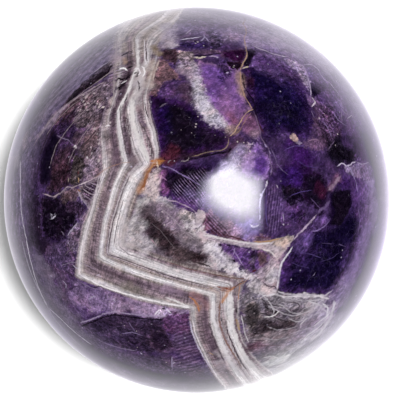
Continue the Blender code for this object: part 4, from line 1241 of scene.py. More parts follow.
def within(places, outline):
    """True for the pixels inside a closed outline."""
    hit = np.zeros(len(places), bool)
    x, y = places[:, 0], places[:, 1]
    for (x0, y0), (x1, y1) in zip(outline, np.roll(outline, -1, axis=0)):
        if y0 != y1:
            hit ^= ((y0 > y) != (y1 > y)) & (x < (x1 - x0) * (y - y0) / (y1 - y0) + x0)
    return hit


def beside_course(spots, points):
    """Each spot's distance to a course of points, and how far along it the spot is."""
    best = np.full(len(spots), FAR_MM)
    along = np.zeros(len(spots))
    walked = 0.0
    for start, end in zip(points[:-1], points[1:]):
        step = end - start
        length = np.linalg.norm(step)
        t = (spots - start) @ step / (step @ step)
        distance = np.linalg.norm(spots - start - np.clip(t, 0.0, 1.0)[:, None] * step, axis=1)
        closer = distance < best
        best = np.where(closer, distance, best)
        along = np.where(closer, walked + t * length, along)
        walked += length
    return best, along


def distance_to(spots, points):
    """Distance from each spot to a course of points, or to the only one."""
    if len(points) == 1:
        return np.linalg.norm(spots - points[0], axis=1)
    return beside_course(spots, points)[0]


def wander(spots, wave_mm, seed):
    """Smooth irregular waves of this length through the stone, about as much above 0 as below."""
    draws = np.random.default_rng(seed)
    ways = draws.normal(size=(WAVES, 3))
    ways *= draws.uniform(0.7, 1.5, (WAVES, 1)) / np.linalg.norm(ways, axis=1)[:, None]
    turns = draws.uniform(0, 2 * math.pi, WAVES)
    return np.cos(spots @ ways.T * (2 * math.pi / wave_mm) + turns).sum(1) / math.sqrt(WAVES / 2)


def soft_patch(spots, places, radius_px, uneven):
    """1 at a traced course, a half at about the radius and 0 further out, with an uneven outline."""
    radius = radius_px * PX_MM
    distance = distance_to(spots, on_ball(places)) + uneven * min(radius * 0.45, 0.9)
    return 1.0 - ease(radius * 0.3, radius * 1.7, distance)


def from_behind(places):
    """The points of the ball's far side behind these pixels, as looked at through the ball."""
    flat = (places - BALL_MIDDLE_PX) * (PX_MM, -PX_MM)
    reach = np.linalg.norm(flat, axis=1)
    flat = flat * np.minimum(1.0, 0.9999 * RADIUS_MM / reach)[:, None]
    deep = -np.sqrt(RADIUS_MM**2 - (flat**2).sum(1))
    return np.column_stack((flat, deep))


def across_lines(spots, seen, lines, put_on):
    """How far across the bands each spot is, from the traced lines on either side of it."""
    gaps = [distance_to(spots, put_on(course)) for _, course in lines]
    first, last = lines[0], lines[-1]
    result = np.where(gaps[0] < gaps[-1], first[0] - gaps[0] / PX_MM, last[0] + gaps[-1] / PX_MM)
    for i in range(len(lines) - 1):
        (low, near), (high, far) = lines[i], lines[i + 1]
        between = within(seen, np.vstack((near, far[::-1])))
        share = gaps[i] / np.maximum(gaps[i] + gaps[i + 1], 1e-6)
        result = np.where(between, low + (high - low) * share, result)
    return result


def band_place(spots):
    """How far across the growth bands each spot is, on the near and the far side."""
    near = [(level, pixels(course)) for level, course in BAND_LINES]
    outer, inner = [pixels(course) for course in FAR_BAND_EDGES]
    far = []
    for level, course in near:
        behind = outer + (inner - outer) * level / near[-1][0]
        # At the rim the far lines start and end where the near ones do
        behind[:2], behind[-2:] = course[:2], course[-2:]
        far.append((level, behind))
    from_above = spots[:, :2] * (1 / PX_MM, -1 / PX_MM) + BALL_MIDDLE_PX
    front = across_lines(spots, seen_at(spots), near, on_ball)
    back = across_lines(spots, from_above, far, from_behind)
    # The two tracings run into one another where the camera stops seeing the ball
    toward = EYE_MM - spots
    above = (spots * toward).sum(1) / np.linalg.norm(toward, axis=1)
    return back + (front - back) * ease(*BANDS_TURN_MM, above)


def tones_across(profile):
    """A run's profile as places across it, linear colours and covers."""
    stops = [stop.split() for stop in profile.split(",")]
    where = np.array([float(place) for place, _ in stops])
    shades = np.array([linear(BAND_TONES[tone][0]) for _, tone in stops])
    covers = np.array([BAND_TONES[tone][1] for _, tone in stops])
    return where, shades, covers


class Markings:
    """The stone's colours and signed distances at each vertex of the ball."""

    def __init__(self, spots):
        self.spots = spots
        self.seen = seen_at(spots)
        self.facing = (spots * (EYE_MM - spots)).sum(1) > 0
        count = len(spots)
        self.uneven = 0.6 * wander(spots, COARSE_UNEVEN_MM, 1) + 0.5 * wander(spots, FINE_UNEVEN_MM, 2)
        upper = ease(*GROUND_TURNS, spots[:, 2] / RADIUS_MM)
        self.ground = mixed(beyond(spots), linear(BACKGROUND), upper)
        self.mottle = np.full(count, PLAIN_MOTTLE)
        self.cells = [np.zeros((count, 3)) for _ in range(CELL_LAYERS)]
        self.cell_edge = [np.full(count, FAR_AWAY) for _ in range(CELL_LAYERS)]
        self.veins = [np.zeros((count, 3)) for _ in range(VEIN_LAYERS)]
        self.vein_edge = [np.full(count, -FAR_AWAY) for _ in range(VEIN_LAYERS)]
        self.vein_strength = [np.zeros(count) for _ in range(VEIN_LAYERS)]
        self.vein_room = [np.full(count, FAR_MM) for _ in range(VEIN_LAYERS)]
        self.band_cover = np.ones(count)
        self.band_tint = np.zeros((count, 4))
        self.twin = np.zeros((count, 2))
        self.specks = np.zeros(count)
        self.bands = band_place(spots)
        self.band_run = beside_course(spots, on_ball(pixels(BAND_LINES[1][1])))[1]
        near = np.column_stack([distance_to(spots, on_ball(pixels(where))) for _, where, _ in BAND_RUNS])
        share = np.exp(-((near - near.min(axis=1)[:, None]) / RUN_BLEND_MM))
        self.run_share = share / share.sum(axis=1)[:, None]

    def patch(self, where, radius_px):
        """A soft patch at this course, on the side that the camera sees."""
        return soft_patch(self.spots, pixels(where), radius_px, self.uneven) * self.facing

    def depth_in(self, where):
        """How deep inside a closed outline each spot is, below 0 outside it, and whether it is inside."""
        outline = pixels(where)
        distance = trace(self.spots, on_ball(outline), closed=True)[0]
        inside = within(self.seen, outline) & self.facing
        return np.where(inside, distance, -distance), inside

    def lay_ground(self):
        for name, colour, radius, opacity, mottle, where in GROUND:
            amount = self.patch(where, radius) * opacity
            self.ground = mixed(self.ground, linear(colour), amount)
            self.mottle += (mottle - self.mottle) * amount

    def lay_cells(self):
        for name, layer, edge, core, fade, soft, opacity, mottle, where in CELLS:
            depth, inside = self.depth_in(where)
            place = np.clip(depth / (soft * PX_MM), FAR_AWAY, -FAR_AWAY)
            inward = ease(0.0, fade * PX_MM, depth)
            colour = mixed(np.tile(linear(edge), (len(depth), 1)), linear(core), inward)
            colour = mixed(self.ground, colour, np.full(len(depth), opacity))
            better = place > self.cell_edge[layer]
            self.cell_edge[layer] = np.where(better, place, self.cell_edge[layer])
            self.cells[layer] = np.where(better[:, None], colour, self.cells[layer])
            self.mottle = np.where(inside, mottle, self.mottle)

    def lay_tints(self):
        for name, colour, radius, opacity, where in TINTS:
            amount = self.patch(where, radius) * opacity
            shade = linear(colour)
            self.ground = mixed(self.ground, shade, amount)
            self.cells = [mixed(cell, shade, amount) for cell in self.cells]
            both = amount + self.band_tint[:, 3]
            share = amount / np.maximum(both, 1e-6)
            self.band_tint[:, :3] = mixed(self.band_tint[:, :3], shade, share)
            self.band_tint[:, 3] = np.maximum(self.band_tint[:, 3], amount)

    def fade_bands(self):
        for name, cover, radius, where in FADED_BANDS:
            self.band_cover += (cover - self.band_cover) * self.patch(where, radius)

    def lay_twin_layers(self):
        for name, strength, spacing, direction, where in TWIN_LAYERS:
            depth, _ = self.depth_in(where)
            amount = ease(*TWIN_FADE_PX, depth / PX_MM) * strength
            way = pixels(direction)[0]
            phase = self.seen @ (way / np.linalg.norm(way)) / spacing
            better = amount > self.twin[:, 1]
            self.twin[better] = np.column_stack((phase, amount))[better]

    def lay_specks(self):
        for name, density, radius, where in SPECKS:
            self.specks = np.maximum(self.specks, self.patch(where, radius) * density)

    def below(self):
        """Roughly the colour under the fine lines, to thin the fainter ones into."""
        band = np.zeros((len(self.spots), 3))
        cover = np.zeros(len(self.spots))
        for (_, _, profile), share in zip(BAND_RUNS, self.run_share.T):
            where, shades, covers = tones_across(profile)
            blend = np.column_stack([np.interp(self.bands, where, shades[:, i]) for i in range(3)])
            band += blend * share[:, None]
            cover += np.interp(self.bands, where, covers) * share
        result = self.ground
        for layer in range(CELL_LAYERS):
            result = mixed(result, self.cells[layer], np.clip(self.cell_edge[layer] + 0.5, 0, 1))
            if layer == 0:
                band = mixed(band, self.band_tint[:, :3], self.band_tint[:, 3])
                result = mixed(result, band, cover * self.band_cover)
        return result

    def lay_veins(self):
        under = self.below()
        for name, *strokes in VEINS:
            for stroke in strokes:
                colour, width, opacity, course = stroke.split(" ", 3)
                self.lay_vein(on_ball(pixels(course)), colour, float(width), float(opacity), under)

    def lay_vein(self, line, colour, width_px, opacity, under):
        """Lays one fine line in the layer where the fewest others are near it."""
        distance, side, along, length = trace(self.spots, line)
        from_end = np.minimum(along, length - along)
        taper = max(min(length / 4, VEIN_TAPER_PX * PX_MM), 1e-6)
        half = width_px * PX_MM / 2 * np.clip(from_end / taper, 0.05, 1.0) ** 0.5
        place = np.clip(side * distance / half, FAR_AWAY, -FAR_AWAY)
        strength = 1 - ease(*VEIN_MARGIN_MM, distance - half)
        strength *= ease(0.0, min(VEIN_FADE_MM, length / 4), from_end)
        close = distance < VEIN_ROOM_MM
        crowd = [np.count_nonzero(close & (room < VEIN_ROOM_MM)) for room in self.vein_room]
        layer = int(np.argmin(crowd))
        better = distance < self.vein_room[layer]
        shade = mixed(under, linear(colour), np.full(len(distance), opacity))
        self.veins[layer][better] = shade[better]
        self.vein_edge[layer][better] = place[better]
        self.vein_strength[layer][better] = strength[better]
        self.vein_room[layer][better] = distance[better]


def beyond(spots):
    """The stone that the photograph doesn't show: violet cells with paler borders, from a fixed seed."""
    draws = np.random.default_rng(BEYOND_SEED)
    seeds = draws.normal(size=(BEYOND_CELLS, 3))
    seeds *= RADIUS_MM / np.linalg.norm(seeds, axis=1)[:, None]
    pick = draws.integers(0, len(BEYOND_TONES), BEYOND_CELLS)
    warp = np.column_stack([wander(spots, BEYOND_WARP_MM, 20 + axis) for axis in range(3)])
    warp += 0.45 * np.column_stack([wander(spots, BEYOND_FINE_WARP_MM, 30 + axis) for axis in range(3)])
    moved = (spots + 0.7 * warp) * BEYOND_STRETCH
    nearest = np.full(len(spots), FAR_MM)
    second = np.full(len(spots), FAR_MM)
    owner = np.zeros(len(spots), int)
    for number, seed in enumerate(seeds * BEYOND_STRETCH):
        distance = np.linalg.norm(moved - seed, axis=1)
        closer = distance < nearest
        second = np.where(closer, nearest, np.minimum(second, distance))
        owner = np.where(closer, number, owner)
        nearest = np.where(closer, distance, nearest)
    border = (second - nearest) / 2
    tones = np.array([[linear(tone) for tone in pair] for pair in BEYOND_TONES])[pick[owner]]
    edges, cores = tones[:, 0], tones[:, 1]
    colour = mixed(edges, cores, ease(0.1, 1.8, border))
    seam = (1 - ease(0.05, 0.3, border)) * np.clip(0.5 + wander(spots, BEYOND_GAPS_MM, 41), 0, 1)
    colour = mixed(colour, linear(BEYOND_WASH), np.full(len(spots), 0.15))
    return mixed(colour, linear(BEYOND_SEAM), 0.55 * seam)


def rim_painted_reflection(colours, spots, facing):
    """Displayed colours faded towards the rim, where the photograph turns to pale lilac: painted reflection
    of the white table, over the reflection that the gloss shows.
    """
    places = (seen_at(spots) - BALL_MIDDLE_PX) * (1.0, -1.0)
    reach = np.linalg.norm(places, axis=1)
    angle = np.degrees(np.arctan2(places[:, 1], places[:, 0]))
    reach_in = reach - all_round(angle, RIM_LIGHT, 3) * (1 - ease(*RIM_EVEN_PX, reach))
    across = np.array(RIM_LEVELS)
    shown = np.interp(reach_in, across[:, 0], across[:, 1]) * all_round(angle, RIM_LIGHT, 1)
    amount = np.interp(reach_in, across[:, 0], across[:, 2]) * facing
    inner, outer = np.array(RIM_TINTS)
    tint = mixed(np.tile(inner, (len(spots), 1)), outer, ease(*RIM_TINTS_PX, reach))
    tint = 1 + (tint - 1) * all_round(angle, RIM_LIGHT, 2)[:, None]
    return mixed(colours, shown[:, None] * tint, amount)


def reflectance(cosine):
    """How much of the light a polished quartz surface mirrors at this angle."""
    inner = np.sqrt(QUARTZ_IOR**2 - 1 + cosine**2)
    across = ((cosine - inner) / (cosine + inner)) ** 2
    level = ((QUARTZ_IOR**2 * cosine - inner) / (QUARTZ_IOR**2 * cosine + inner)) ** 2
    return (across + level) / 2


def sheet_glow(spot):
    """The light of the white table round the ball where the rim of the ball mirrors it."""
    away = np.maximum(np.linalg.norm(spot, axis=1), 1e-6)
    angle = np.degrees(np.arctan2(spot[:, 1], spot[:, 0]))
    fading = np.minimum((all_round(angle, TABLE_LIGHT, 2) / away) ** TABLE_FALLOFF, 1.0)
    level = all_round(angle, TABLE_LIGHT, 1) * fading * np.clip(1.6 * (1 - away / TABLE_REACH_MM), 0, 1)
    tint = 1 + (TABLE_TINT - 1) * all_round(angle, RIM_LIGHT, 2)[:, None]
    return level[:, None] * tint


def stone_colour(shown, spots, facing):
    """The colour that the stone has, so that under its gloss and light it shows the colour given."""
    normal, squareness, mirrored = mirrored_view(spots)
    height = spots[:, 2] + CENTRE_HEIGHT / MM
    reach = height / np.maximum(-mirrored[:, 2], 1e-6)
    spot = spots[:, :2] + reach[:, None] * mirrored[:, :2]
    gloss = reflectance(np.clip(squareness, 0.0, 1.0))
    veil = sheet_glow(spot) * (gloss * (mirrored[:, 2] < 0) * facing)[:, None]
    lit = SKY_LEVEL + KEY_LEVEL * np.clip(normal @ KEY_WAY, 0, 1)
    front = ease(0.0, 0.1, normal[:, 2]) * facing
    level = LIGHT_LEVEL + (lit * (1 - gloss) - LIGHT_LEVEL) * front
    lit_veil = VEIL_SHARE * veil * front[:, None]
    brightness = np.maximum(shown.mean(axis=1), 1e-6)
    share = np.clip(1 - lit_veil.mean(axis=1) / brightness, 0, 1)
    own = 0.5 * shown * share[:, None] + 0.5 * np.clip(shown - lit_veil, 0, None)
    return np.clip(own / level[:, None], STONE_DARKEST, STONE_PALEST)


def deselect():
    bpy.ops.object.select_all(action="DESELECT")


def store(mesh, name, values):
    """Keeps one number or one colour with a signed fourth number for each vertex."""
    if values.ndim == 1:
        layer = mesh.attributes.new(name, "FLOAT", "POINT")
        layer.data.foreach_set("value", values.astype(np.float32))
    else:
        layer = mesh.attributes.new(name, "FLOAT_COLOR", "POINT")
        layer.data.foreach_set("color", values.astype(np.float32).ravel())


def place_of_vertices(mesh):
    flat = np.empty(len(mesh.vertices) * 3, np.float32)
    mesh.vertices.foreach_get("co", flat)
    return flat.reshape(-1, 3).astype(float)


def mark_ball(mesh):
    """Lays every marking and keeps it on the mesh for the material."""
    spots = place_of_vertices(mesh) / MM - np.array([0.0, 0.0, CENTRE_HEIGHT / MM])
    marks = Markings(spots)
    marks.lay_ground()
    marks.lay_cells()
    marks.lay_tints()
    marks.fade_bands()
    marks.lay_twin_layers()
    marks.lay_specks()
    marks.lay_veins()
    facing = marks.facing.astype(float)

    far_stone = beyond(spots) / LIGHT_LEVEL
    unseen = 1 - ease(*STONE_TURNS, spots[:, 2] / RADIUS_MM)

    def shown(colours, fourth, under_reflection=1.0):
        # The rim is faded to pale lilac with painted reflection of the white table before the stone's own
        # colour is worked out
        own = stone_colour(rim_painted_reflection(colours, spots, facing * under_reflection), spots, facing)
        return np.column_stack((mixed(own, far_stone, unseen), fourth))

    store(mesh, "ground", shown(marks.ground, marks.mottle))
    for layer in range(CELL_LAYERS):
        store(mesh, f"cells_{layer}", shown(marks.cells[layer], marks.cell_edge[layer]))
    for layer in range(VEIN_LAYERS):
        store(mesh, f"veins_{layer}", shown(marks.veins[layer], marks.vein_strength[layer], VEIN_REFLECTION_SHARE))
        store(mesh, f"vein_edge_{layer}", marks.vein_edge[layer])
    store(mesh, "bands", marks.bands)
    store(mesh, "band_run", marks.band_run)
    # Each run's share among the runs before it and itself, to blend them one after another
    before = np.cumsum(marks.run_share, axis=1)
    for number in range(1, len(BAND_RUNS)):
        store(mesh, f"run_{number}", marks.run_share[:, number] / np.maximum(before[:, number], 1e-9))
    store(mesh, "band_tint", shown(marks.band_tint[:, :3], marks.band_tint[:, 3]))
    store(mesh, "twin_phase", marks.twin[:, 0])
    store(mesh, "twin_strength", marks.twin[:, 1])
    store(mesh, "specks", marks.specks)
    store(mesh, "band_cover", marks.band_cover)


class Nodes:
    """A material's or world's node tree, with one way to add to it."""

    def __init__(self, tree):
        self.tree = tree

    def add(self, kind, inputs=None, out=0, **settings):
        """Adds a node, sets it, fills or links its sockets and gives back one of its outputs."""
        made = self.tree.nodes.new(kind)
        for key, value in settings.items():
            setattr(made, key, value)
        for socket, value in (inputs or {}).items():
            if isinstance(value, bpy.types.NodeSocket):
                self.tree.links.new(value, made.inputs[socket])
            else:
                made.inputs[socket].default_value = value
        return made.outputs[out]

    def kept(self, name, out="Color"):
        """What the mesh keeps under this name: as Color and Alpha, or as Fac where it is one number."""
        return self.add("ShaderNodeAttribute", out=out, attribute_name=name)

    def maths(self, way, *values):
        return self.add("ShaderNodeMath", dict(enumerate(values)), operation=way)

    def times(self, a, b):
        return self.maths("MULTIPLY", a, b)

    def sum(self, *values):
        total = values[0]
        for value in values[1:]:
            total = self.maths("ADD", total, value)
        return total

    def swing(self, value, amount):
        """A noise about its middle, this much from lowest to highest."""
        return self.times(self.sum(value, -0.5), amount)

    def spread(self, value, low, high, to_low=0.0, to_high=1.0, smooth=True):
        """The value as it goes from low to high, brought to the range given and kept in it."""
        kind = "SMOOTHSTEP" if smooth else "LINEAR"
        inputs = {0: value, 1: low, 2: high, 3: to_low, 4: to_high}
        return self.add("ShaderNodeMapRange", inputs, interpolation_type=kind, clamp=True)

    def both_ways(self, value, low, high):
        return self.spread(value, low, high, -1.0, 1.0, smooth=False)

    def blend(self, amount, under, over, way="MIX"):
        inputs = {0: amount, MIX_UNDER: under, MIX_OVER: over}
        settings = {"data_type": "RGBA", "blend_type": way, "clamp_factor": True}
        return self.add("ShaderNodeMix", inputs, out=MIX_RESULT, **settings)

    def scaled(self, colour, by):
        return self.blend(1.0, colour, by, "MULTIPLY")

    def grey(self, colour):
        return self.add("ShaderNodeRGBToBW", {0: colour})

    def noise(self, place, grain_mm, detail=2.0, rough=0.55, swirl=0.0, out=0, **settings):
        inputs = {"Vector": place, "Scale": 1 / (grain_mm * MM), "Detail": detail, "Roughness": rough}
        return self.add("ShaderNodeTexNoise", {**inputs, "Distortion": swirl}, out=out, **settings)

    def voronoi(self, place, cell_mm, out="Distance", **settings):
        inputs = {"Vector": place, "Scale": 1 / (cell_mm * MM)}
        return self.add("ShaderNodeTexVoronoi", inputs, out=out, **settings)

    def vector(self, way, place, other):
        """A vector moved by another or scaled by a number."""
        socket = 3 if way == "SCALE" else 1
        return self.add("ShaderNodeVectorMath", {0: place, socket: other}, operation=way)


def band_ramp(nodes, wavy, profile):
    """The tones across one run of the bands: their colour and how much they cover."""
    places, shades, covers = tones_across(profile)
    across = nodes.spread(wavy, places[0], places[-1], smooth=False)
    ramp = nodes.add("ShaderNodeValToRGB", {0: across}).node
    stops = ramp.color_ramp.elements
    while len(stops) < len(places):
        stops.new(0.5)
    for stop, where, shade, cover in zip(stops, places, shades, covers):
        stop.position = (where - places[0]) / (places[-1] - places[0])
        stop.color = (*(shade / LIGHT_LEVEL), cover)
    return ramp.outputs["Color"], ramp.outputs["Alpha"]


def growth_bands(nodes, place):
    """The chevron bands: tones across each run, wandering a little, with fine layers and fibres inside."""
    across = nodes.kept("bands", "Fac")
    sway = nodes.swing(nodes.noise(place, BAND_SWAY_MM, 2.0), 3.0)
    fray = nodes.swing(nodes.noise(place, BAND_FRAY_MM, 3.0, 0.7), 2.0)
    wavy = nodes.sum(across, sway, fray)
    banded, cover = band_ramp(nodes, wavy, BAND_RUNS[0][2])
    for number, (_, _, profile) in enumerate(BAND_RUNS[1:], 1):
        so_far = nodes.kept(f"run_{number}", "Fac")
        run, run_cover = band_ramp(nodes, wavy, profile)
        banded = nodes.blend(so_far, banded, run)
        cover = nodes.add("ShaderNodeMix", {0: so_far, 2: cover, 3: run_cover})

    thin_place = nodes.vector("SCALE", place, 1 / (BAND_LAYER_MM * MM))
    thin_inputs = {"Vector": thin_place, "W": nodes.times(wavy, 0.9), "Scale": 1.0, "Detail": 2.0}
    thin = nodes.add("ShaderNodeTexNoise", {**thin_inputs, "Roughness": 0.6}, noise_dimensions="4D")
    layered = nodes.scaled(banded, nodes.spread(thin, 0.32, 0.68, 0.56, 1.28))

    # Comb quartz: short fibres across the bands, strongest where they are dark
    along = nodes.sum(nodes.kept("band_run", "Fac"), nodes.times(nodes.noise(place, FIBRE_SWAY_MM), 1.2))
    comb_inputs = {0: nodes.times(along, 3.4), 1: nodes.times(across, 0.11), 2: 0.0}
    comb_place = nodes.add("ShaderNodeCombineXYZ", comb_inputs)
    comb_inputs = {"Vector": comb_place, "Scale": 1.0, "Detail": 3.0, "Roughness": 0.7}
    comb = nodes.add("ShaderNodeTexNoise", comb_inputs)
    dim = nodes.spread(nodes.grey(banded), 0.5, 0.2, 0.12, 0.5)
    fibres = nodes.sum(nodes.times(nodes.both_ways(comb, 0.36, 0.64), dim), 1.0)
    layered = nodes.scaled(layered, fibres)
    return nodes.blend(nodes.kept("band_tint", "Alpha"), layered, nodes.kept("band_tint")), cover


def stone_material(settings):
    """Polished chevron amethyst: glossy violet quartz, milky bands, cells and healed cracks."""
    material = bpy.data.materials.new("polished_chevron_amethyst")
    material.use_nodes = True
    tree = material.node_tree
    nodes = Nodes(tree)
    shader = tree.nodes["Principled BSDF"]
    place = nodes.add("ShaderNodeTexCoord", out="Object")

    # Wander of the borders, clouding and grain, each at its real size
    wandering = nodes.noise(place, BORDER_WANDER_MM, 3.0)
    jitter = nodes.noise(place, BORDER_FRAY_MM, 4.0, 0.75)
    clouding = nodes.noise(place, CLOUD_MM, 7.0, 0.72)
    turned = {"Vector": place, "Rotation": (0.0, 0.0, GRAIN_TURN), "Scale": (1.0, GRAIN_STRETCH, 1.0)}
    drawn_out = nodes.add("ShaderNodeMapping", turned, vector_type="TEXTURE")
    grain = nodes.noise(drawn_out, GRAIN_MM, 3.0, 0.75, swirl=0.8)
    salt = nodes.noise(place, SALT_MM, 4.0, 0.72)
    # Moved off, so that the pits don't follow the grains
    pepper = nodes.noise(nodes.vector("ADD", place, (0.1, 0.2, 0.3)), PEPPER_MM, 4.0, 0.72)
    broken = nodes.noise(place, BREAK_MM, 2.0)
    off_border = nodes.sum(nodes.swing(wandering, 2.0), nodes.swing(jitter, 4.5))

    colour = nodes.kept("ground")
    mottle = nodes.kept("ground", "Alpha")
    bands, band_cover = growth_bands(nodes, place)
    for layer in range(CELL_LAYERS):
        name = f"cells_{layer}"
        border = nodes.sum(nodes.kept(name, "Alpha"), off_border)
        colour = nodes.blend(nodes.spread(border, -0.5, 0.5), colour, nodes.kept(name))
        if layer == 0:
            left = nodes.sum(nodes.kept("band_cover", "Fac"), nodes.swing(clouding, 1.2))
            in_bands = nodes.times(band_cover, nodes.spread(left, 0.25, 0.6))
            colour = nodes.blend(in_bands, colour, bands)
            mottle = nodes.times(mottle, nodes.spread(in_bands, 0.0, 1.0, 1.0, 0.3, smooth=False))

    def mottled(more, least):
        return nodes.sum(nodes.times(mottle, more), least)

    # Twin layers: thin stripes of lighter and darker violet
    stripe = nodes.noise(place, TWIN_SWAY_MM, 3.0)
    stripe = nodes.sum(nodes.kept("twin_phase", "Fac"), nodes.times(stripe, 1.6))
    wave = nodes.maths("SINE", nodes.times(stripe, 2 * math.pi))
    strength = nodes.kept("twin_strength", "Fac")
    darker = nodes.times(nodes.spread(wave, -0.2, -0.9), nodes.times(strength, 0.75))
    lighter = nodes.times(nodes.spread(wave, 0.3, 1.0), nodes.times(strength, 0.5))
    colour = nodes.blend(darker, colour, four(settings.dark_layers))
    colour = nodes.blend(lighter, colour, four(settings.pale_layers))

    # Warm and cold patches
    hue = nodes.both_ways(nodes.noise(place, WARM_PATCH_MM, 4.0, 0.65), 0.36, 0.64)
    warm = nodes.times(nodes.spread(hue, 0.0, 1.0), mottled(0.35, 0.08))
    cold = nodes.times(nodes.spread(hue, 0.0, -1.0), mottled(0.25, 0.08))
    colour = nodes.blend(nodes.times(warm, 1.6), colour, nodes.scaled(colour, WARMER))
    colour = nodes.blend(nodes.times(cold, 1.6), colour, nodes.scaled(colour, COLDER))

    # Clouding in three sizes, in stops of brightness
    cloud = nodes.both_ways(clouding, 0.37, 0.63)
    curds = nodes.both_ways(nodes.noise(place, CURD_MM, 4.0, 0.75), 0.36, 0.64)
    fine = nodes.both_ways(grain, 0.36, 0.64)
    stops = nodes.sum(
        nodes.times(cloud, mottled(0.7, 0.25)),
        nodes.times(curds, mottled(0.85, 0.16)),
        nodes.times(fine, mottled(1.5, 0.24)),
    )
    # Pale stone hardly gets any paler
    headroom = nodes.spread(nodes.grey(colour), 0.03, 0.5, 1.0, 0.25, smooth=False)
    upward = nodes.times(nodes.maths("MAXIMUM", stops, 0.0), headroom)
    downward = nodes.times(nodes.maths("MINIMUM", stops, 0.0), 0.9)
    shade = nodes.maths("POWER", 2.0, nodes.sum(upward, downward))
    colour = nodes.scaled(colour, shade)

    # Crystal threads and grains are a lighter tone of what they lie in, and pits a darker one
    lighter_tone = nodes.blend(1.0, nodes.scaled(colour, CRYSTAL_GAIN), CRYSTAL_LIFT, "ADD")
    ridges = nodes.noise(place, THREAD_MM, 5.0, 0.8, noise_type="RIDGED_MULTIFRACTAL")
    threads = nodes.times(nodes.spread(ridges, 0.9, 1.35), mottled(0.6, 0.08))
    grains = nodes.times(nodes.spread(salt, 0.56, 0.68), mottled(0.9, 0.05))
    colour = nodes.blend(nodes.times(nodes.sum(threads, grains), headroom), colour, lighter_tone)
    pits = nodes.times(nodes.spread(pepper, 0.44, 0.32), mottled(0.75, 0.05))
    colour = nodes.blend(pits, colour, nodes.scaled(colour, PIT_GAIN))

    # Webs of fine healed cracks, broken up: wide ones all over, narrow ones where the stone is granular
    for cell_mm, least, more in WEBS:
        drift = nodes.noise(place, WEB_BEND_MM, 3.0, 0.5, out="Color")
        bent = nodes.vector("ADD", place, nodes.vector("SCALE", drift, WEB_SHIFT_MM * MM))
        web = nodes.voronoi(bent, cell_mm, feature="DISTANCE_TO_EDGE")
        line = nodes.spread(web, CRACK_MM / cell_mm, 0.2 * CRACK_MM / cell_mm)
        here = nodes.spread(nodes.noise(bent, 2.0 * cell_mm, 2.0), 0.52, 0.64)
        amount = nodes.times(nodes.times(line, here), mottled(more, least))
        colour = nodes.blend(nodes.times(amount, headroom), colour, lighter_tone)

    # Pale specks where the stone is granular
    flecks = nodes.voronoi(place, FLECK_MM)
    size = nodes.times(nodes.kept("specks", "Fac"), nodes.spread(clouding, 0.4, 0.62, 0.05, 0.36))
    pale = nodes.spread(nodes.sum(size, nodes.times(flecks, -1.0)), -0.05, 0.08)
    colour = nodes.blend(nodes.times(pale, 0.8), colour, four(settings.specks))

    # Tiny glints of healed fractures all through the violet, at some of the dots by a lot drawn for each
    apart = nodes.voronoi(place, GLINT_MM)
    lot = nodes.add("ShaderNodeSeparateColor", {0: nodes.voronoi(place, GLINT_MM, "Color")})
    glint = nodes.times(nodes.spread(apart, 0.12, 0.04), nodes.spread(lot, 0.45, 0.95))
    colour = nodes.blend(nodes.times(glint, 0.75), colour, four(settings.glints))

    # Fine lines, uneven in width and broken here and there
    for layer in range(VEIN_LAYERS):
        name = f"veins_{layer}"
        off_line = nodes.sum(nodes.kept(f"vein_edge_{layer}", "Fac"), nodes.swing(jitter, 3.4))
        width = nodes.maths("ABSOLUTE", off_line)
        whole = nodes.spread(nodes.sum(broken, nodes.swing(salt, 0.8)), 0.34, 0.54, 0.5, 1.0)
        drawn = nodes.times(nodes.spread(width, 1.1, 0.45), nodes.kept(name, "Alpha"))
        colour = nodes.blend(nodes.times(drawn, whole), colour, nodes.kept(name))

    tree.links.new(colour, shader.inputs["Base Color"])
    rough = nodes.spread(clouding, 0.3, 0.75, settings.roughness, settings.clouded_roughness)
    tree.links.new(rough, shader.inputs["Roughness"])
    shader.inputs["IOR"].default_value = QUARTZ_IOR
    return material


def white_paper(colour):
    """Matt white paper under the ball, which takes its soft shadow."""
    deselect()
    size = PAPER_SIDE_MM * MM
    bpy.ops.mesh.primitive_plane_add(size=size, location=(0.0, 0.0, -PAPER_DEPTH_MM * MM))
    paper = bpy.context.object
    paper.name = paper.data.name = "white_paper"
    material = bpy.data.materials.new("white_paper")
    material.use_nodes = True
    shader = material.node_tree.nodes["Principled BSDF"]
    shader.inputs["Base Color"].default_value = four(colour)
    shader.inputs["Roughness"].default_value = 1.0
    shader.inputs["Specular IOR Level"].default_value = 0.0
    paper.data.materials.append(material)
    paper.visible_diffuse = paper.visible_glossy = False
    return paper


def ring_faces(count, rings, first=0):
    """Four-sided faces between rings of this many points each, where the first ring starts at first."""
    faces = []
    for inner in range(first, first + count * (rings - 1), count):
        outer = inner + count
        for i in range(count):
            after = (i + 1) % count
            faces.append((inner + i, inner + after, outer + after, outer + i))
    return faces


def glowing(name, corners, faces, glow, level):
    """A face that shines only in the gloss of the ball, brighter or dimmer from corner to corner."""
    mesh = bpy.data.meshes.new(name)
    mesh.from_pydata([(x * MM, y * MM, z * MM) for x, y, z in corners], [], faces)
    store(mesh, "glow", np.column_stack((glow, np.ones(len(corners)))))
    material = bpy.data.materials.new(name)
    material.use_nodes = True
    tree = material.node_tree
    tree.nodes.remove(tree.nodes["Principled BSDF"])
    nodes = Nodes(tree)
    shine = nodes.add("ShaderNodeEmission", {"Color": nodes.kept("glow"), "Strength": level})
    tree.links.new(shine, tree.nodes["Material Output"].inputs["Surface"])
    mesh.materials.append(material)
    made = bpy.data.objects.new(name, mesh)
    bpy.context.scene.collection.objects.link(made)
    made.visible_camera = made.visible_diffuse = made.visible_shadow = False


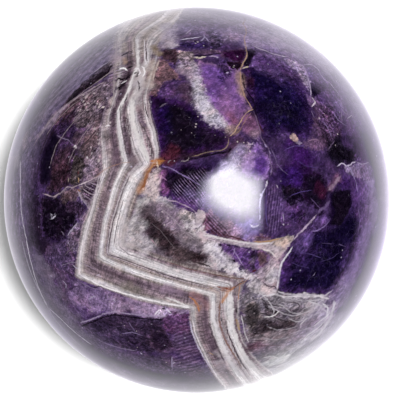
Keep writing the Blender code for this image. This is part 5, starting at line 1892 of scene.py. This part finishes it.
def table_glow():
    """Rings round the ball that give its rim the pale veil of a white table, seen in the gloss."""
    turns = np.linspace(0, 2 * math.pi, TABLE_SPOKES, endpoint=False)
    circle = np.column_stack((np.cos(turns), np.sin(turns)))
    spots = np.vstack([np.zeros((1, 2)), *[circle * reach for reach in TABLE_RINGS_MM]])
    faces = [(0, 1 + i, 1 + (i + 1) % TABLE_SPOKES) for i in range(TABLE_SPOKES)]
    faces += ring_faces(TABLE_SPOKES, len(TABLE_RINGS_MM), 1)
    corners = np.column_stack((spots, np.full(len(spots), -GLOW_DEPTH_MM)))
    glowing("table_glow", corners, faces, sheet_glow(spots), 1.0)


def mirrored_at(places, height_mm):
    """Where the camera sees, mirrored in the ball at these pixels, on a level sheet at this height."""
    points = on_ball(places)
    _, _, mirrored = mirrored_view(points)
    reach = (height_mm - points[:, 2]) / mirrored[:, 2]
    return points + reach[:, None] * mirrored


def softbox(level):
    """The softbox's face, bright in the middle and dimmer to its edge, seen in the gloss."""
    rings = [mirrored_at(pixels(outline), SOFTBOX_HEIGHT_MM) for _, outline in SOFTBOX_RINGS]
    count = len(rings[0])
    faces = ring_faces(count, len(rings))
    faces.append(list(range(count * (len(rings) - 1), count * len(rings))))
    levels = np.repeat([glow for glow, _ in SOFTBOX_RINGS], count)
    tints = np.column_stack([levels * (1 - share * (1 - levels)) for share in SOFTBOX_TINT])
    corners = np.vstack(rings) + (0.0, 0.0, CENTRE_HEIGHT / MM)
    glowing("softbox", corners, faces, tints, level)


def sun(name, level):
    """A soft light from the softbox's side that the gloss doesn't show."""
    data = bpy.data.lights.new(name, "SUN")
    data.energy = level * math.pi
    data.angle = KEY_SPREAD
    lamp = bpy.data.objects.new(name, data)
    lamp.rotation_euler = Vector(KEY_WAY).to_track_quat("Z", "Y").to_euler()
    lamp.visible_glossy = False
    bpy.context.scene.collection.objects.link(lamp)
    return lamp


def studio_world(sky_level):
    """Even light from all round, black in the gloss and a plain pale surround for the camera."""
    world = bpy.data.worlds.new("studio")
    world.use_nodes = True
    tree = world.node_tree
    nodes = Nodes(tree)
    glossy = nodes.add("ShaderNodeLightPath", out="Is Glossy Ray")
    camera = nodes.add("ShaderNodeLightPath", out="Is Camera Ray")
    level = nodes.blend(glossy, four([sky_level] * 3), (0.0, 0.0, 0.0, 1.0))
    level = nodes.blend(camera, level, four([BACKDROP_LEVEL] * 3))
    tree.links.new(level, tree.nodes["Background"].inputs["Color"])
    return world


def photo_camera():
    """The camera over the ball, where the photograph's was."""
    data = bpy.data.cameras.new("photo_view")
    data.lens = LENS_MM
    data.sensor_width = SENSOR_MM
    camera = bpy.data.objects.new("photo_view", data)
    camera.location = Vector(EYE_MM * MM) + Vector((0.0, 0.0, CENTRE_HEIGHT))
    camera.rotation_euler = (0.0, 0.0, 0.0)
    bpy.context.scene.collection.objects.link(camera)
    return camera


def length_setting(name, description, default):
    return FloatProperty(name=name, description=description, default=default, min=0.0, unit="LENGTH")


def level_setting(name, description, default):
    return FloatProperty(name=name, description=description, default=default, min=0.0)


def colour_setting(name, description, default):
    return FloatVectorProperty(
        name=name, description=description, default=tuple(default), min=0.0, max=1.0, subtype="COLOR"
    )


class StoneSettings(bpy.types.PropertyGroup):
    """Sizes, colours and gloss of the polished ball."""

    diameter: length_setting("Diameter", "Across the polished ball", BALL_DIAMETER)
    centre_height: length_setting("Centre height", "From the rest flat to the ball's middle", CENTRE_HEIGHT)
    dark_layers: colour_setting("Dark layers", "The dark stripes of the twin layers", painted("1c0f2a"))
    pale_layers: colour_setting("Pale layers", "The pale stripes of the twin layers", painted("a890bc"))
    specks: colour_setting("Specks", "The pale specks of the granular stone", painted("c9b9bd"))
    glints: colour_setting("Glints", "The glints of healed fractures", painted("c4b9d4"))
    roughness: level_setting("Roughness", "Where the polish is best", POLISHED_ROUGHNESS)
    clouded_roughness: level_setting("Clouded roughness", "Where the stone is clouded", CLOUDED_ROUGHNESS)


class StageSettings(bpy.types.PropertyGroup):
    """The white paper, the softbox and the light round the ball."""

    paper_colour: colour_setting("Paper", "Colour of the paper under the ball", [PAPER_WHITE] * 3)
    sky_level: level_setting("Soft light", "Even light from all round", SKY_LEVEL)
    key_level: level_setting("Key light", "Light from the softbox's side", KEY_LEVEL)
    softbox_glow: level_setting("Softbox", "Brightness of the softbox in the ball's gloss", SOFTBOX_GLOW)


class AMETHYST_OT_ball(bpy.types.Operator):
    """Makes the polished ball with its rest flat and lays the stone's markings on it"""

    bl_idname = "amethyst.ball"
    bl_label = "Polished ball"

    def execute(self, context):
        settings = context.scene.stone
        radius = settings.diameter / 2
        deselect()
        bpy.ops.mesh.primitive_cube_add(size=2 * radius)
        ball = context.object
        ball.name = ball.data.name = "polished_ball"
        # Off its middle before it is rounded, so that the upper half gets the smaller faces
        bpy.ops.object.mode_set(mode="EDIT")
        bpy.ops.mesh.select_all(action="SELECT")
        bpy.ops.transform.translate(value=(0.0, 0.0, CUBE_LIFT * radius))
        bpy.ops.object.mode_set(mode="OBJECT")
        fine = ball.modifiers.new("Fine", "SUBSURF")
        fine.levels = fine.render_levels = SKIN_LEVELS
        bpy.ops.object.modifier_apply(modifier=fine.name)
        rounded = ball.modifiers.new("Round", "CAST")
        rounded.cast_type = "SPHERE"
        rounded.factor = 1.0
        rounded.size = radius
        rounded.use_radius_as_size = False
        bpy.ops.object.modifier_apply(modifier=rounded.name)
        bpy.ops.object.mode_set(mode="EDIT")
        bpy.ops.mesh.select_all(action="SELECT")
        bpy.ops.transform.translate(value=(0.0, 0.0, settings.centre_height))
        table = {"plane_co": (0, 0, 0), "plane_no": (0, 0, 1)}
        bpy.ops.mesh.bisect(**table, use_fill=True, clear_inner=True, threshold=CUT_TOLERANCE)
        bpy.ops.mesh.select_all(action="SELECT")
        bpy.ops.mesh.normals_make_consistent(inside=False)
        bpy.ops.object.mode_set(mode="OBJECT")
        bpy.ops.object.shade_smooth_by_angle(angle=FLAT_ANGLE)
        mark_ball(ball.data)
        ball.data.materials.append(stone_material(settings))
        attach(ball, "root")
        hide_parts("amethyst_sphere")
        return {"FINISHED"}


class AMETHYST_OT_stage(bpy.types.Operator):
    """Sets the white paper, the soft studio light and the camera"""

    bl_idname = "amethyst.stage"
    bl_label = "Stage"

    def execute(self, context):
        scene = context.scene
        settings = scene.stage
        paper = white_paper(settings.paper_colour)
        table_glow()
        softbox(settings.softbox_glow)
        sun("soft_key", settings.key_level)
        paper_light = sun("paper_light", PAPER_LEVEL / PAPER_WHITE - SKY_LEVEL - KEY_LEVEL)
        only_paper = bpy.data.collections.new("lit_by_paper_light")
        only_paper.objects.link(paper)
        paper_light.light_linking.receiver_collection = only_paper
        scene.world = studio_world(settings.sky_level)
        scene.camera = photo_camera()
        scene.view_settings.view_transform = "Standard"
        return {"FINISHED"}


class AMETHYST_PT_panel(bpy.types.Panel):
    """Lists the ball's and the stage's settings and operators"""

    bl_label = "Chevron amethyst"
    bl_idname = "AMETHYST_PT_panel"
    bl_space_type = "VIEW_3D"
    bl_region_type = "UI"
    bl_category = "Amethyst"

    def draw(self, context):
        for settings in (context.scene.stone, context.scene.stage):
            for name in type(settings).__annotations__:
                self.layout.prop(settings, name)
        for maker in (AMETHYST_OT_ball, AMETHYST_OT_stage):
            self.layout.operator(maker.bl_idname)


CLASSES = (StoneSettings, StageSettings, AMETHYST_OT_ball, AMETHYST_OT_stage, AMETHYST_PT_panel)


def register():
    for item in CLASSES:
        bpy.utils.register_class(item)
    bpy.types.Scene.stone = PointerProperty(type=StoneSettings)
    bpy.types.Scene.stage = PointerProperty(type=StageSettings)


def unregister():
    del bpy.types.Scene.stage
    del bpy.types.Scene.stone
    for item in reversed(CLASSES):
        bpy.utils.unregister_class(item)


def main():
    register()
    bpy.ops.amethyst.ball()
    bpy.ops.amethyst.stage()


if __name__ == "__main__":
    main()
